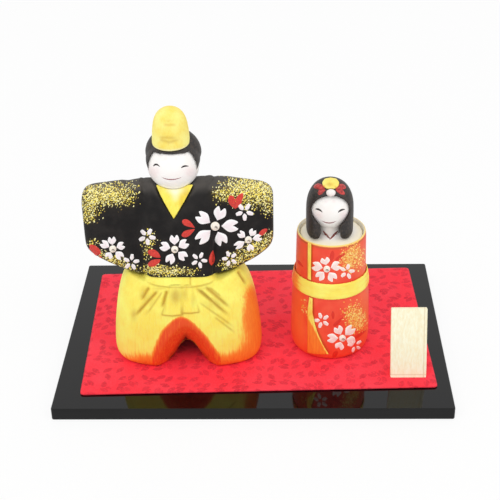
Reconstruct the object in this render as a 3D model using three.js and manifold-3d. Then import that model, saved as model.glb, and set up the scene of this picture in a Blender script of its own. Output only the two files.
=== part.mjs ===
// A pair of painted clay hina dolls on their display base. The lord stands with his sleeves spread, and the
// lady is wrapped in a tube-shaped robe. They share a red crepe mat on a black board with a bare wooden tag.
// Millimetres. +X runs along the board, +Y to the back, +Z up. The origin is the middle of the board's base.

import * as THREE from "three";
import { mergeVertices } from "three/addons/utils/BufferGeometryUtils.js";
import Module from "manifold-3d";

const wasm = await Module();
wasm.setup();

// Clearances that every piece shares.
const gap = 0.3; // between a piece and the one it is seated in or wrapped round
const layGap = 0.1; // under a piece that lies or stands on another
const overrun = 5; // how far a cutter runs past what it cuts

// Facet counts.
const ringSteps = 36;
const smallRingSteps = 26;
const headSteps = 12;
const beadSteps = 12;
const archSteps = 6;
const foldSteps = 8;
const curveSteps = 4;
const bevelSteps = 2;

// Display base.
const board = { width: 210, depth: 145, thickness: 7, cornerRadius: 1.2, edge: 0.5 };
const mat = { width: 189, depth: 121, thickness: 1, cornerRadius: 2, x: 1.4, y: 2.5, turn: 1.8 };
const tag = { width: 19.1, length: 38, thickness: 2.6, lean: 18.5, edge: 0.5, foot: 9.5, footInset: 3 };
const tagPlace = { fromEnd: 22, fromFront: 25.2 }; // from the board's right end and front edge

// The lord. Sideways places count from the middle of his trouser skirt, and each height from the piece that
// carries the next one: robe on skirt, head on robe, hair and hat on head.
const lord = { x: -35.8, y: -18.4 };
const hakama = { halfWidth: 40.4, halfDepth: 21, height: 60, wall: 4.2, squareness: 2.7 };
const arch = { halfWidth: 19.3, height: 29.5, roundness: 0.61, spacing: 1.8 };
const pleat = { depth: 1.1, topWidth: 0.5, bottomWidth: 1.5 };
const robe = { shift: -2, seat: 6, height: 52.6, halfWidth: 19, halfDepth: 14.5, corner: 6.5 };
const robeHem = hakama.height - robe.seat;
const robeTop = robeHem + robe.height;
const cornerShare = 0.95; // the largest corner radius, as a share of the half thickness that it rounds
const sleeve = { reach: 49.2, lap: 2, halfThickness: 8.6, corner: 5, y: -1 };
const sleeveEdge = { drop: 2.4, rise: 17.4, sag: 2.4, shoulder: 1.9, fall: 4.2 };
const sleeveHem = robeHem - sleeveEdge.drop;
const sleeveTop = robeTop - sleeveEdge.shoulder;
const sash = { height: 4.4, thickness: 1.6 };
const sashBottom = robeHem - sash.height;
const tab = { thickness: 1.2 };
const lordHead = { shift: -3.4, y: 1.2, rise: 6.6, halfWidth: 13.3, halfDepth: 12.6, halfHeight: 13.5 };
const lordHeadZ = robeTop + lordHead.rise;
const collar = { left: 10.8, right: 12.6, rise: 1.6, length: 20, thickness: 9, inset: 0.5 };
const lordHair = { thickness: 1.25, napeDrop: 4.1, crownRise: 4.6, crownBack: 4, crownHalfDepth: 11 };
const lordFace = { hairlineRise: 9.1, hairlineHalf: 9.3, tipDrop: 0.9, tipHalf: 12.9 };
const hat = { shift: -3.8, y: 0.2, brimRadius: 10, rise: 11.1, height: 20.7 };
const hatDent = { halfWidth: 3.6, halfHeight: 0.9, halfDepth: 1.3, heightShare: 0.74 };
const hatFold = { radius: 0.45, sweep: 62 };

// The lady. Sideways places count from the axis of her gown. Drops count down from the gown's top. The head's
// rise counts up from that top, and the rises of what the head carries from the head's middle.
const lady = { x: 42.3, y: -9.9 };
const gown = { halfWidth: 21.8, depthShare: 1.02, height: 71.2, wall: 4.6 };
const rim = { wall: 1.6, round: 0.8, ledgeDrop: 7.2 };
const ledge = gown.height - rim.ledgeDrop;
const obi = { drop: 32.4, height: 9.4, bulge: 0.9, sideShare: 0.86 };
const obiBottom = gown.height - obi.drop;
const lapel = { thickness: 0.9, width: 1.8, x: -12.9, straight: 8.6, flareX: -1.3, foot: 3.2 };
const bodice = { drop: 1.8, domeHeight: 2.2, neckRadius: 5.4, socketDepth: 5.2 };
const ladyHead = { shift: -1.1, y: -1.5, rise: 14, halfWidth: 10.9, halfDepth: 10.6, halfHeight: 12.6 };
const bodiceShoulder = gown.height - rim.round - bodice.drop;
const ladyHeadZ = gown.height + ladyHead.rise;
const chinShare = 0.9; // how much narrower the lady's head is at the chin
const ladyHair = { radius: 12.3, depthShare: 0.93, crownRise: 15.8, lockDrop: 1.1 };
const hairTop = ladyHeadZ + ladyHair.crownRise;
const hairBottom = gown.height - ladyHair.lockDrop;
const faceOpening = { halfWidth: 10.1, topRise: 10.4, cheekRise: 0.8, chinDrop: 8.4 };
const neckOpening = { halfWidth: 4.9, lockHalf: 8.8 };
const fan = { halfWidth: 4.4, height: 8.4, thickness: 1.1, pitch: 52, rise: 12.9, frontShare: 0.62 };
const pearl = { halfWidth: 2.6, halfHeight: 2, rise: 12, stand: 0.9 };

// Turns a closed three.js geometry into a solid that can be cut, with its faces pointing out.
function solidOf(geometry) {
  const bare = geometry.clone();
  bare.deleteAttribute("normal");
  bare.deleteAttribute("uv");
  const merged = mergeVertices(bare);
  const vertProperties = merged.getAttribute("position").array;
  const triVerts = new Uint32Array(merged.index.array);
  const made = new wasm.Manifold(new wasm.Mesh({ numProp: 3, vertProperties, triVerts }));
  if (made.volume() > 0) return made;
  const turned = triVerts.map((_, i) => triVerts[i - (i % 3) + [0, 2, 1][i % 3]]);
  return new wasm.Manifold(new wasm.Mesh({ numProp: 3, vertProperties, triVerts: turned }));
}

// Turns a solid back into a geometry for a mesh.
function geometryOf(solid) {
  const made = solid.getMesh();
  const geometry = new THREE.BufferGeometry();
  geometry.setAttribute("position", new THREE.BufferAttribute(new Float32Array(made.vertProperties), 3));
  geometry.setIndex(new THREE.BufferAttribute(made.triVerts, 1));
  geometry.computeVertexNormals();
  return geometry;
}

// A closed skin over a row of rings that have equally many points, with a flat cap on each end.
function loft(rings) {
  const count = rings[0].length;
  const points = rings.flat();
  const index = [];
  for (let ring = 0; ring < rings.length - 1; ring++) {
    for (let step = 0; step < count; step++) {
      const here = ring * count + step;
      const next = ring * count + ((step + 1) % count);
      index.push(here, next, next + count, here, next + count, here + count);
    }
  }
  const last = (rings.length - 1) * count;
  const startMiddle = points.length;
  for (const ring of [rings[0], rings[rings.length - 1]]) {
    const middle = new THREE.Vector3();
    ring.forEach((point) => middle.addScaledVector(point, 1 / count));
    points.push(middle);
  }
  for (let step = 0; step < count; step++) {
    const next = (step + 1) % count;
    index.push(startMiddle, next, step, startMiddle + 1, last + step, last + next);
  }
  const geometry = new THREE.BufferGeometry().setFromPoints(points);
  geometry.setIndex(index);
  return solidOf(geometry);
}

// A ring between an ellipse and a rectangle: the higher its squareness, the squarer it is.
function squaredRing(halfWidth, halfDepth, squareness, z) {
  return Array.from({ length: ringSteps }, (_, step) => {
    const angle = (step / ringSteps) * 2 * Math.PI;
    const bend = (value) => Math.sign(value) * Math.abs(value) ** (2 / squareness);
    return new THREE.Vector3(halfWidth * bend(Math.cos(angle)), halfDepth * bend(Math.sin(angle)), z);
  });
}

function roundedRectangle(halfWidth, halfHeight, radius) {
  const shape = new THREE.Shape();
  const x = halfWidth - radius;
  const y = halfHeight - radius;
  shape.absarc(x, y, radius, 0, Math.PI / 2);
  shape.absarc(-x, y, radius, Math.PI / 2, Math.PI);
  shape.absarc(-x, -y, radius, Math.PI, 1.5 * Math.PI);
  shape.absarc(x, -y, radius, 1.5 * Math.PI, 2 * Math.PI);
  shape.closePath();
  return shape;
}

// A flat slab with softened edges that stands on z = 0.
function slab(shape, thickness, edge) {
  const geometry = new THREE.ExtrudeGeometry(shape, {
    depth: thickness - 2 * edge,
    bevelThickness: edge,
    bevelSize: edge,
    bevelOffset: -edge,
    bevelSegments: bevelSteps,
    curveSegments: curveSteps,
  });
  return geometry.translate(0, 0, edge);
}

// Pushes an outline that is drawn in X and Z through the part, from frontY to backY.
function pushThrough(shape, frontY, backY) {
  const options = { depth: backY - frontY, bevelEnabled: false, curveSegments: curveSteps };
  return solidOf(new THREE.ExtrudeGeometry(shape, options).rotateX(Math.PI / 2).translate(0, backY, 0));
}

// A turned solid about Z, from a closed profile of [radius, height] pairs, narrowed in depth.
function turned(profile, steps, depthShare) {
  const points = profile.map(([radius, z]) => new THREE.Vector2(Math.max(radius, 0), z));
  return solidOf(new THREE.LatheGeometry(points, steps).rotateX(Math.PI / 2).scale(1, depthShare, 1));
}

function ball(halfWidth, halfDepth, halfHeight, x, y, z, steps) {
  const sphere = new THREE.SphereGeometry(1, steps, steps / 2).rotateX(Math.PI / 2);
  return solidOf(sphere.scale(halfWidth, halfDepth, halfHeight).translate(x, y, z));
}

// Reads a smooth curve through rows of shares at a height share, one value for each further column.
function levelsThrough(rows, steps) {
  const curves = rows[0].slice(1).map((_, column) => {
    const points = rows.map((row) => new THREE.Vector3(row[0], row[column + 1], 0));
    return new THREE.CatmullRomCurve3(points, false, "centripetal");
  });
  return Array.from({ length: steps + 1 }, (_, step) => {
    const points = curves.map((curve) => curve.getPoint(step / steps));
    return [points[0].x, ...points.map((point) => point.y)];
  });
}

const clay = (name, colour, roughness) => new THREE.MeshStandardMaterial({ name, color: colour, roughness });
const materials = {
  lacquer: clay("black lacquer", 0x1a1a1b, 0.12),
  crepe: clay("crimson crepe", 0xd9243b, 0.85),
  wood: clay("pale wood", 0xf3e6c4, 0.7),
  goldClay: clay("gold painted clay", 0xe9b83a, 0.6),
  blackClay: clay("black painted clay", 0x2c2829, 0.8),
  hairBlack: clay("hair black", 0x232021, 0.6),
  faceWhite: clay("face white", 0xf7efec, 0.55),
  vermilion: clay("vermilion painted clay", 0xe8472f, 0.6),
  pearlWhite: clay("pearl white", 0xf4f1ea, 0.3),
};

const set = new THREE.Group();

function addMesh(group, name, geometry, material) {
  const mesh = new THREE.Mesh(geometry, material);
  mesh.name = name;
  group.add(mesh);
  return mesh;
}

// Base board, mat and tag.
const boardShape = roundedRectangle(board.width / 2, board.depth / 2, board.cornerRadius);
addMesh(set, "base_board", slab(boardShape, board.thickness, board.edge), materials.lacquer);

const matShape = roundedRectangle(mat.width / 2, mat.depth / 2, mat.cornerRadius);
const matGeometry = new THREE.ExtrudeGeometry(matShape, {
  depth: mat.thickness,
  bevelEnabled: false,
  curveSegments: curveSteps,
});
const matBottom = board.thickness + layGap;
const matMesh = addMesh(set, "red_mat", matGeometry, materials.crepe);
matMesh.position.set(mat.x, mat.y, matBottom);
matMesh.rotation.z = THREE.MathUtils.degToRad(mat.turn);

const standing = matBottom + mat.thickness + layGap;

// The tag: a thin board that leans back, cut level where it stands, with a narrower wedge under its back.
function tagPiece() {
  const { length, thickness, width, edge, foot, footInset } = tag;
  const lean = THREE.MathUtils.degToRad(tag.lean);
  const [back, up] = [Math.sin(lean), Math.cos(lean)];
  const middle = thickness / up / 2;
  const face = new THREE.Shape();
  face.moveTo(0, 0);
  face.lineTo(thickness / up, 0);
  face.lineTo(length * back + thickness * up, length * up - thickness * back);
  face.lineTo(length * back, length * up);
  face.closePath();
  const wedge = new THREE.Shape();
  wedge.moveTo(middle, 0);
  wedge.lineTo(foot, 0);
  wedge.lineTo(foot, (foot - middle) / Math.tan(lean));
  wedge.closePath();
  const across = (shape, span, soft) =>
    solidOf(slab(shape, span, soft).rotateX(Math.PI / 2).rotateZ(Math.PI / 2).translate(-span / 2, 0, 0));
  return across(face, width, edge).add(across(wedge, width - 2 * footInset, edge));
}

const tagMesh = addMesh(set, "wooden_tag", geometryOf(tagPiece()), materials.wood);
const tagX = board.width / 2 - tagPlace.fromEnd;
tagMesh.position.set(tagX, tagPlace.fromFront - board.depth / 2, standing);

// The lord's trouser skirt. Rows are height, half width and half depth as shares.
const hakamaLevelShares = [
  [0, 0.94, 0.9],
  [0.03, 0.98, 0.955],
  [0.08, 1, 0.99],
  [0.17, 1, 1],
  [0.32, 0.985, 0.985],
  [0.48, 0.955, 0.955],
  [0.64, 0.915, 0.9],
  [0.79, 0.855, 0.79],
  [0.88, 0.79, 0.68],
  [0.95, 0.67, 0.54],
  [1, 0.42, 0.34],
];
const hakamaRings = 12;

function hakamaBody(offset, floor) {
  const rings = levelsThrough(hakamaLevelShares, hakamaRings).map(([up, wide, deep], level) => {
    const z = level === 0 ? floor : hakama.height * up;
    const [halfWidth, halfDepth] = [hakama.halfWidth * wide + offset, hakama.halfDepth * deep + offset];
    return squaredRing(halfWidth, halfDepth, hakama.squareness, z);
  });
  return loft(rings);
}

// The arch between the legs, wide at the front, draws in to a small dark opening further back. Rows are
// depth, half width and height as shares. The depth is counted from the skirt's middle to its front.
const archStationShares = [
  [1.2, 1.36, 1.16],
  [1, 1, 1],
  [0.81, 0.74, 0.76],
  [0.66, 0.58, 0.6],
  [0.51, 0.47, 0.46],
  [0.36, 0.4, 0.37],
];
const throatShares = archStationShares[archStationShares.length - 1];

function archOutline(halfWidth, height) {
  const side = Array.from({ length: archSteps + 1 }, (_, step) => {
    const up = 1 - (1 - step / archSteps) ** arch.spacing;
    return [halfWidth * (1 - up) ** arch.roundness, height * up];
  });
  const right = side.map(([x, z]) => new THREE.Vector2(x, z));
  const left = side.slice(0, -1).map(([x, z]) => new THREE.Vector2(-x, z));
  const [start, end] = [halfWidth, -halfWidth].map((x) => new THREE.Vector2(x, -overrun));
  return [start, ...right, ...left.reverse(), end];
}

function archFunnel(offset) {
  const rings = archStationShares.map(([deep, wide, high], station) => {
    const last = station === archStationShares.length - 1;
    const y = -hakama.halfDepth * deep + (last ? offset : 0);
    const outline = archOutline(arch.halfWidth * wide + offset, arch.height * high + offset);
    return outline.map((point) => new THREE.Vector3(point.x, y, point.y));
  });
  return loft(rings);
}

function archThroat() {
  const [deep, wide, high] = throatShares;
  const outline = new THREE.Shape(archOutline(arch.halfWidth * wide, arch.height * high));
  return pushThrough(outline, -hakama.halfDepth * deep - gap, 0);
}

// Pressed pleats, each from a top to a bottom point in shares of the skirt's half width and height.
const pleatShares = [
  [-0.5, 0.77, -0.74, 0.5],
  [-0.4, 0.76, -0.62, 0.46],
  [0.09, 0.78, 0.4, 0.5],
  [0.17, 0.78, 0.56, 0.44],
  [0.27, 0.78, 0.62, 0.54],
  [0.36, 0.78, 0.7, 0.62],
  [-0.3, 0.74, -0.34, 0.6],
];

function pleatGrooves() {
  const [topHalf, bottomHalf] = [pleat.topWidth / 2, pleat.bottomWidth / 2];
  const blades = pleatShares.map(([topX, topZ, bottomX, bottomZ]) => {
    const top = new THREE.Vector2(hakama.halfWidth * topX, hakama.height * topZ);
    const bottom = new THREE.Vector2(hakama.halfWidth * bottomX, hakama.height * bottomZ);
    const shape = new THREE.Shape();
    shape.moveTo(top.x - topHalf, top.y);
    shape.lineTo(top.x + topHalf, top.y);
    shape.quadraticCurveTo(bottom.x + bottomHalf, bottom.y + bottomHalf, bottom.x, bottom.y);
    shape.quadraticCurveTo(bottom.x - bottomHalf, bottom.y + bottomHalf, top.x - topHalf, top.y);
    return pushThrough(shape, -hakama.halfDepth - overrun, -hakama.halfDepth / 2);
  });
  return wasm.Manifold.union(blades).subtract(hakamaBody(-pleat.depth, 0));
}

// The lord's robe: a torso block with rounded corners that thins towards the shoulders.
const torsoLevelShares = [
  [0, 0.96],
  [0.03, 1],
  [0.35, 0.99],
  [0.62, 0.94],
  [0.78, 0.83],
  [0.88, 0.69],
  [0.95, 0.52],
  [0.985, 0.36],
  [1, 0.2],
];
const torsoRings = 9;

function roundedRing(halfWidth, halfDepth, radius, z) {
  const corner = Math.min(radius, halfDepth * cornerShare);
  return roundedRectangle(halfWidth, halfDepth, corner).getSpacedPoints(ringSteps).slice(0, -1)
    .map((point) => new THREE.Vector3(point.x, point.y, z));
}

function torsoBody(offset) {
  const height = robe.height + 2 * offset;
  const rings = levelsThrough(torsoLevelShares, torsoRings).map(([up, deep]) => {
    const z = robeHem - offset + height * up;
    return roundedRing(robe.halfWidth + offset, robe.halfDepth * deep + offset, robe.corner, z);
  });
  return loft(rings).translate(robe.shift, 0, 0);
}

// A sleeve runs out from the torso. Its lower edge sweeps up, its top falls a little and its end is soft.
// Rows are the way out, the rise of the lower edge, the fall of the top and the half thickness, as shares.
const sleeveStationShares = [
  [0, 0, 0, 1],
  [0.15, 0.04, 0.15, 1],
  [0.35, 0.19, 0.35, 1],
  [0.54, 0.37, 0.54, 1],
  [0.75, 0.62, 0.75, 1],
  [0.88, 0.83, 0.9, 0.98],
  [0.95, 0.95, 1.08, 0.91],
  [0.985, 1.06, 1.35, 0.78],
  [1, 1.18, 1.75, 0.6],
];
const sleeveRings = 10;

function sleeveStations(side) {
  const root = robe.halfWidth - sleeve.lap;
  const lift = sleeveEdge.rise - (side < 0 ? sleeveEdge.sag : 0);
  return levelsThrough(sleeveStationShares, sleeveRings).map(([out, rise, fall, thick]) => ({
    x: root + (sleeve.reach - root) * out,
    bottom: sleeveHem + lift * rise,
    top: sleeveTop - sleeveEdge.fall * fall,
    half: sleeve.halfThickness * thick,
  }));
}

function sleeveBody(side) {
  const rings = sleeveStations(side).map(({ x, bottom, top, half }) => {
    const across = roundedRing(half, (top - bottom) / 2, sleeve.corner, 0);
    const middle = (top + bottom) / 2;
    return across.map(({ x: y, y: up }) => new THREE.Vector3(robe.shift + side * x, sleeve.y + y, middle + up));
  });
  return loft(rings);
}

// What the sleeve's lower edge presses out of the skirt below it, all the way from front to back.
function sleeveSeat(side) {
  const toOutline = ({ x, bottom }) => new THREE.Vector2(robe.shift + side * x, bottom - gap);
  const lower = sleeveStations(side).map(toOutline);
  const far = robe.shift + side * (sleeve.reach + overrun);
  const above = sleeveTop - sleeveEdge.fall;
  const ends = [new THREE.Vector2(far, lower[lower.length - 1].y), new THREE.Vector2(far, above)];
  const outline = new THREE.Shape([...lower, ...ends, new THREE.Vector2(lower[0].x, above)]);
  return pushThrough(outline, -hakama.halfDepth - overrun, hakama.halfDepth + overrun);
}

// Head, hair and hat of the lord.
function lordHeadBody(offset) {
  const { halfWidth, halfDepth, halfHeight, shift, y } = lordHead;
  const radii = [halfWidth + offset, halfDepth + offset, halfHeight + offset];
  return ball(...radii, shift, y, lordHeadZ, smallRingSteps);
}

// The hair follows the head, and fills out high behind the hat.
function lordHairBody(offset) {
  const { thickness, crownRise, crownBack, crownHalfDepth } = lordHair;
  const halfWidth = lordHead.halfWidth + thickness + offset;
  const radii = [halfWidth, crownHalfDepth + offset, lordHead.halfHeight + offset];
  const place = [lordHead.shift, lordHead.y + crownBack, lordHeadZ + crownRise];
  return lordHeadBody(thickness + offset).add(ball(...radii, ...place, smallRingSteps));
}

function lordFaceCut() {
  const { hairlineHalf, tipHalf } = lordFace;
  const [hairline, tip] = [lordHeadZ + lordFace.hairlineRise, lordHeadZ - lordFace.tipDrop];
  const below = lordHeadZ - lordHair.napeDrop - overrun;
  const far = lordHead.halfWidth + overrun;
  const x = lordHead.shift;
  const shape = new THREE.Shape();
  shape.moveTo(x - hairlineHalf, hairline);
  shape.quadraticCurveTo(x, hairline + lordHair.thickness, x + hairlineHalf, hairline);
  shape.quadraticCurveTo(x + tipHalf, (hairline + tip) / 2, x + tipHalf, tip);
  shape.lineTo(x + far, below);
  shape.lineTo(x - far, below);
  shape.lineTo(x - tipHalf, tip);
  shape.quadraticCurveTo(x - tipHalf, (hairline + tip) / 2, x - hairlineHalf, hairline);
  return pushThrough(shape, lordHead.y - lordHead.halfDepth - overrun, lordHead.y);
}

function lordHairPiece() {
  const far = lordHead.halfWidth + overrun;
  const x = lordHead.shift;
  const block = pushThrough(roundedRectangle(far, far, gap), lordHead.y - far, lordHead.y + far);
  const napeCut = block.translate(x, 0, lordHeadZ - lordHair.napeDrop - far);
  return lordHairBody(0).subtract(lordHeadBody(gap)).subtract(lordFaceCut()).subtract(napeCut);
}

// The tall hat: rows are height and radius as shares of its height and of its brim.
const hatLevelShares = [
  [0, 0.93],
  [0.06, 1],
  [0.12, 0.985],
  [0.26, 0.955],
  [0.42, 0.935],
  [0.58, 0.885],
  [0.72, 0.815],
  [0.84, 0.68],
  [0.93, 0.5],
  [0.985, 0.24],
  [1, 0],
];
const hatRings = 10;

// Two shallow folds are pressed across the hat's front. Rows are their height and radius as shares.
const hatFoldShares = [
  [0.36, 0.975],
  [0.2, 0.995],
];
const sweepShares = [-1, -0.5, 0, 0.5, 1];

function foldGroove(z, radius) {
  const half = THREE.MathUtils.degToRad(hatFold.sweep / 2);
  const points = sweepShares.map((share) => {
    const angle = share * half - Math.PI / 2;
    const sag = 2 * hatFold.radius * (1 - share * share);
    return new THREE.Vector3(radius * Math.cos(angle), radius * Math.sin(angle), z - sag);
  });
  const extrudePath = new THREE.CatmullRomCurve3(points);
  const section = new THREE.Shape().absarc(0, 0, hatFold.radius, 0, 2 * Math.PI);
  const options = { steps: foldSteps, curveSegments: curveSteps, extrudePath };
  return solidOf(new THREE.ExtrudeGeometry(section, options));
}

function hatPiece() {
  const levels = levelsThrough(hatLevelShares, hatRings);
  const profile = [[0, 0], ...levels.map(([up, wide]) => [hat.brimRadius * wide, hat.height * up])];
  profile[profile.length - 1][0] = 0;
  const body = turned(profile, smallRingSteps, 1);
  const { halfWidth, halfDepth, halfHeight, heightShare } = hatDent;
  const dentRow = hatLevelShares.find(([up]) => up >= heightShare);
  const dentY = -hat.brimRadius * dentRow[1] - halfDepth / 3;
  const dent = ball(halfWidth, halfDepth, halfHeight, 0, dentY, hat.height * heightShare, beadSteps);
  const folds = hatFoldShares.map(([up, wide]) => foldGroove(hat.height * up, hat.brimRadius * wide));
  const pressed = wasm.Manifold.union([dent, ...folds]);
  const placed = body.subtract(pressed).translate(hat.shift, hat.y, lordHeadZ + hat.rise);
  return placed.subtract(lordHairBody(gap));
}

// The yellow under-collar fills the V of the robe's neck.
function collarWedge(offset) {
  const x = lordHead.shift;
  const backY = -robe.halfDepth + collar.thickness + offset;
  const top = robeTop + collar.rise;
  const shape = new THREE.Shape();
  shape.moveTo(x - collar.left - offset, top + overrun);
  shape.lineTo(x - collar.left - offset, top);
  shape.lineTo(x, top - collar.length - 2 * offset);
  shape.lineTo(x + collar.right + offset, top);
  shape.lineTo(x + collar.right + offset, top + overrun);
  shape.closePath();
  return pushThrough(shape, -robe.halfDepth - overrun, backY);
}

// The sash and its two hanging ends lie on the front of the skirt.
function onSkirt(shape, thickness) {
  const region = pushThrough(shape, -hakama.halfDepth - overrun, -hakama.halfDepth / 3);
  return hakamaBody(thickness + gap, 0).intersect(region).subtract(hakamaBody(gap, 0));
}

function sashPiece() {
  const top = robeHem - gap;
  const half = robe.halfWidth - gap;
  const shape = new THREE.Shape();
  shape.moveTo(robe.shift - half, top);
  shape.lineTo(robe.shift - half, sashBottom);
  shape.quadraticCurveTo(robe.shift, sashBottom - sash.thickness / 2, robe.shift + half, sashBottom);
  shape.lineTo(robe.shift + half, top);
  shape.closePath();
  return onSkirt(shape, sash.thickness);
}

// Rows are the outer and inner x at the top, the same at the bottom, and the height of the bottom, as shares.
const tabShares = {
  emperor_sash_end_left: [-0.25, -0.044, -0.278, -0.02, 0.585],
  emperor_sash_end_right: [-0.028, 0.13, -0.004, 0.176, 0.615],
};

function tabPiece([topLeft, topRight, bottomLeft, bottomRight, bottomUp]) {
  const top = sashBottom - sash.thickness / 2 - gap;
  const bottom = hakama.height * bottomUp;
  const wide = hakama.halfWidth;
  const shape = new THREE.Shape();
  shape.moveTo(wide * topLeft, top);
  shape.lineTo(wide * bottomLeft, bottom);
  const middle = (wide * (bottomLeft + bottomRight)) / 2;
  shape.quadraticCurveTo(middle, bottom - tab.thickness, wide * bottomRight, bottom);
  shape.lineTo(wide * topRight, top);
  shape.closePath();
  return onSkirt(shape, tab.thickness);
}

function hakamaPiece() {
  const flatTop = robeHem - gap;
  const torsoSeat = pushThrough(
    new THREE.Shape([
      new THREE.Vector2(robe.shift - robe.halfWidth, flatTop),
      new THREE.Vector2(robe.shift - robe.halfWidth, hakama.height + overrun),
      new THREE.Vector2(robe.shift + robe.halfWidth, hakama.height + overrun),
      new THREE.Vector2(robe.shift + robe.halfWidth, flatTop),
    ]),
    -hakama.halfDepth - overrun,
    hakama.halfDepth + overrun,
  );
  const ceiling = sleeveHem - gap - hakama.wall / 2;
  const under = new THREE.Shape([
    new THREE.Vector2(-hakama.halfWidth - overrun, -2 * overrun),
    new THREE.Vector2(-hakama.halfWidth - overrun, ceiling),
    new THREE.Vector2(hakama.halfWidth + overrun, ceiling),
    new THREE.Vector2(hakama.halfWidth + overrun, -2 * overrun),
  ]);
  const hollow = hakamaBody(-hakama.wall, -overrun)
    .intersect(pushThrough(under, -hakama.halfDepth, hakama.halfDepth))
    .subtract(archFunnel(hakama.wall));
  return hakamaBody(0, 0)
    .subtract(hollow)
    .subtract(archFunnel(0))
    .subtract(archThroat())
    .subtract(pleatGrooves())
    .subtract(torsoSeat)
    .subtract(sleeveSeat(1))
    .subtract(sleeveSeat(-1));
}

const lordGroup = new THREE.Group();
lordGroup.position.set(lord.x, lord.y, standing);
set.add(lordGroup);

const addLord = (name, solid, material) => addMesh(lordGroup, name, geometryOf(solid), material);
addLord("emperor_hakama", hakamaPiece(), materials.goldClay);
addLord("emperor_sash", sashPiece(), materials.goldClay);
Object.entries(tabShares).forEach(([name, shares]) => addLord(name, tabPiece(shares), materials.goldClay));
const headRoom = lordHeadBody(gap);
addLord("emperor_robe", torsoBody(0).subtract(headRoom).subtract(collarWedge(gap)), materials.blackClay);
addLord("emperor_sleeve_left", sleeveBody(-1).subtract(torsoBody(gap)), materials.blackClay);
addLord("emperor_sleeve_right", sleeveBody(1).subtract(torsoBody(gap)), materials.blackClay);
const collarSolid = torsoBody(-collar.inset).intersect(collarWedge(0)).subtract(headRoom);
addLord("emperor_collar", collarSolid, materials.goldClay);
addLord("emperor_head", lordHeadBody(0), materials.faceWhite);
addLord("emperor_hair", lordHairPiece(), materials.hairBlack);
addLord("emperor_hat", hatPiece(), materials.goldClay);

// The lady's gown is a hollow tube. Rows are height and half width as shares.
const gownLevelShares = [
  [0, 0.92],
  [0.015, 0.955],
  [0.045, 0.985],
  [0.11, 1],
  [0.22, 0.99],
  [0.38, 0.975],
  [0.52, 0.955],
  [0.58, 0.89],
  [0.7, 0.872],
  [0.84, 0.862],
  [0.96, 0.855],
  [1, 0.852],
];
const gownRings = 12;
const gownLevels = levelsThrough(gownLevelShares, gownRings);

function gownRadius(z) {
  const up = THREE.MathUtils.clamp(z / gown.height, 0, 1);
  const above = gownLevels.findIndex(([level]) => level >= up);
  if (above <= 0) return gown.halfWidth * gownLevels[0][1];
  const [low, lowWide] = gownLevels[above - 1];
  const [high, highWide] = gownLevels[above];
  return gown.halfWidth * THREE.MathUtils.mapLinear(up, low, high, lowWide, highWide);
}

const rimInner = gownRadius(gown.height) - rim.wall;
const boreRadius = gownRadius(gown.height) - gown.wall;

function gownBody(offset) {
  const side = gownLevels.map(([up, wide]) => [gown.halfWidth * wide + offset, gown.height * up]);
  return turned([[0, 0], ...side, [0, gown.height]], ringSteps, gown.depthShare);
}

function gownPiece() {
  const outer = gownLevels.slice(0, -1).map(([up, wide]) => [gown.halfWidth * wide, gown.height * up]);
  const lipOuter = gownRadius(gown.height);
  const lip = [
    [lipOuter, gown.height - rim.round],
    [lipOuter - rim.wall / 4, gown.height - rim.round / 4],
    [lipOuter - rim.wall / 2, gown.height],
    [lipOuter - (rim.wall * 3) / 4, gown.height - rim.round / 4],
    [rimInner, gown.height - rim.round],
  ];
  const inside = [[rimInner, ledge], [boreRadius, ledge], [boreRadius, 0]];
  const profile = [...outer.filter(([, z]) => z < gown.height - rim.round), ...lip, ...inside];
  return turned([...profile, profile[0]], ringSteps, gown.depthShare);
}

// The broad sash goes all the way round, bulges a little and is narrower at the sides and back.
const obiSectionShares = [
  [0, 0],
  [0.6, 0.03],
  [0.92, 0.22],
  [1, 0.5],
  [0.92, 0.78],
  [0.6, 0.97],
  [0, 1],
  [0, 0.66],
  [0, 0.33],
];

function obiPiece() {
  const rings = Array.from({ length: ringSteps }, (_, step) => {
    const angle = (step / ringSteps) * 2 * Math.PI;
    const away = Math.min(1 + Math.sin(angle), 1);
    const height = obi.height * THREE.MathUtils.lerp(1, obi.sideShare, away);
    return obiSectionShares.map(([outShare, upShare]) => {
      const z = obiBottom + height * upShare;
      const radius = gownRadius(z) + gap + obi.bulge * outShare;
      return new THREE.Vector3(radius * Math.cos(angle), radius * Math.sin(angle) * gown.depthShare, z);
    });
  });
  const count = obiSectionShares.length;
  const index = [];
  for (let ring = 0; ring < ringSteps; ring++) {
    const nextRing = ((ring + 1) % ringSteps) * count;
    for (let step = 0; step < count; step++) {
      const [here, next] = [ring * count + step, ring * count + ((step + 1) % count)];
      const [over, overNext] = [nextRing + step, nextRing + ((step + 1) % count)];
      index.push(here, over, overNext, here, overNext, next);
    }
  }
  const geometry = new THREE.BufferGeometry().setFromPoints(rings.flat());
  geometry.setIndex(index);
  return solidOf(geometry);
}

// The gown's overlapping front edge is a narrow strip above the sash, and below it opens out to a flap.
function onGown(shape) {
  const region = pushThrough(shape, -gown.halfWidth - overrun, -gown.halfWidth / 4);
  return gownBody(lapel.thickness + gap).intersect(region).subtract(gownBody(gap));
}

function upperLapel() {
  const [bottom, top] = [obiBottom + obi.height + gap, gown.height - rim.round];
  const shape = new THREE.Shape();
  shape.moveTo(lapel.x, bottom);
  shape.lineTo(lapel.x + lapel.width, bottom);
  shape.lineTo(lapel.x + lapel.width, top);
  shape.lineTo(lapel.x, top);
  shape.closePath();
  return onGown(shape);
}

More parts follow.
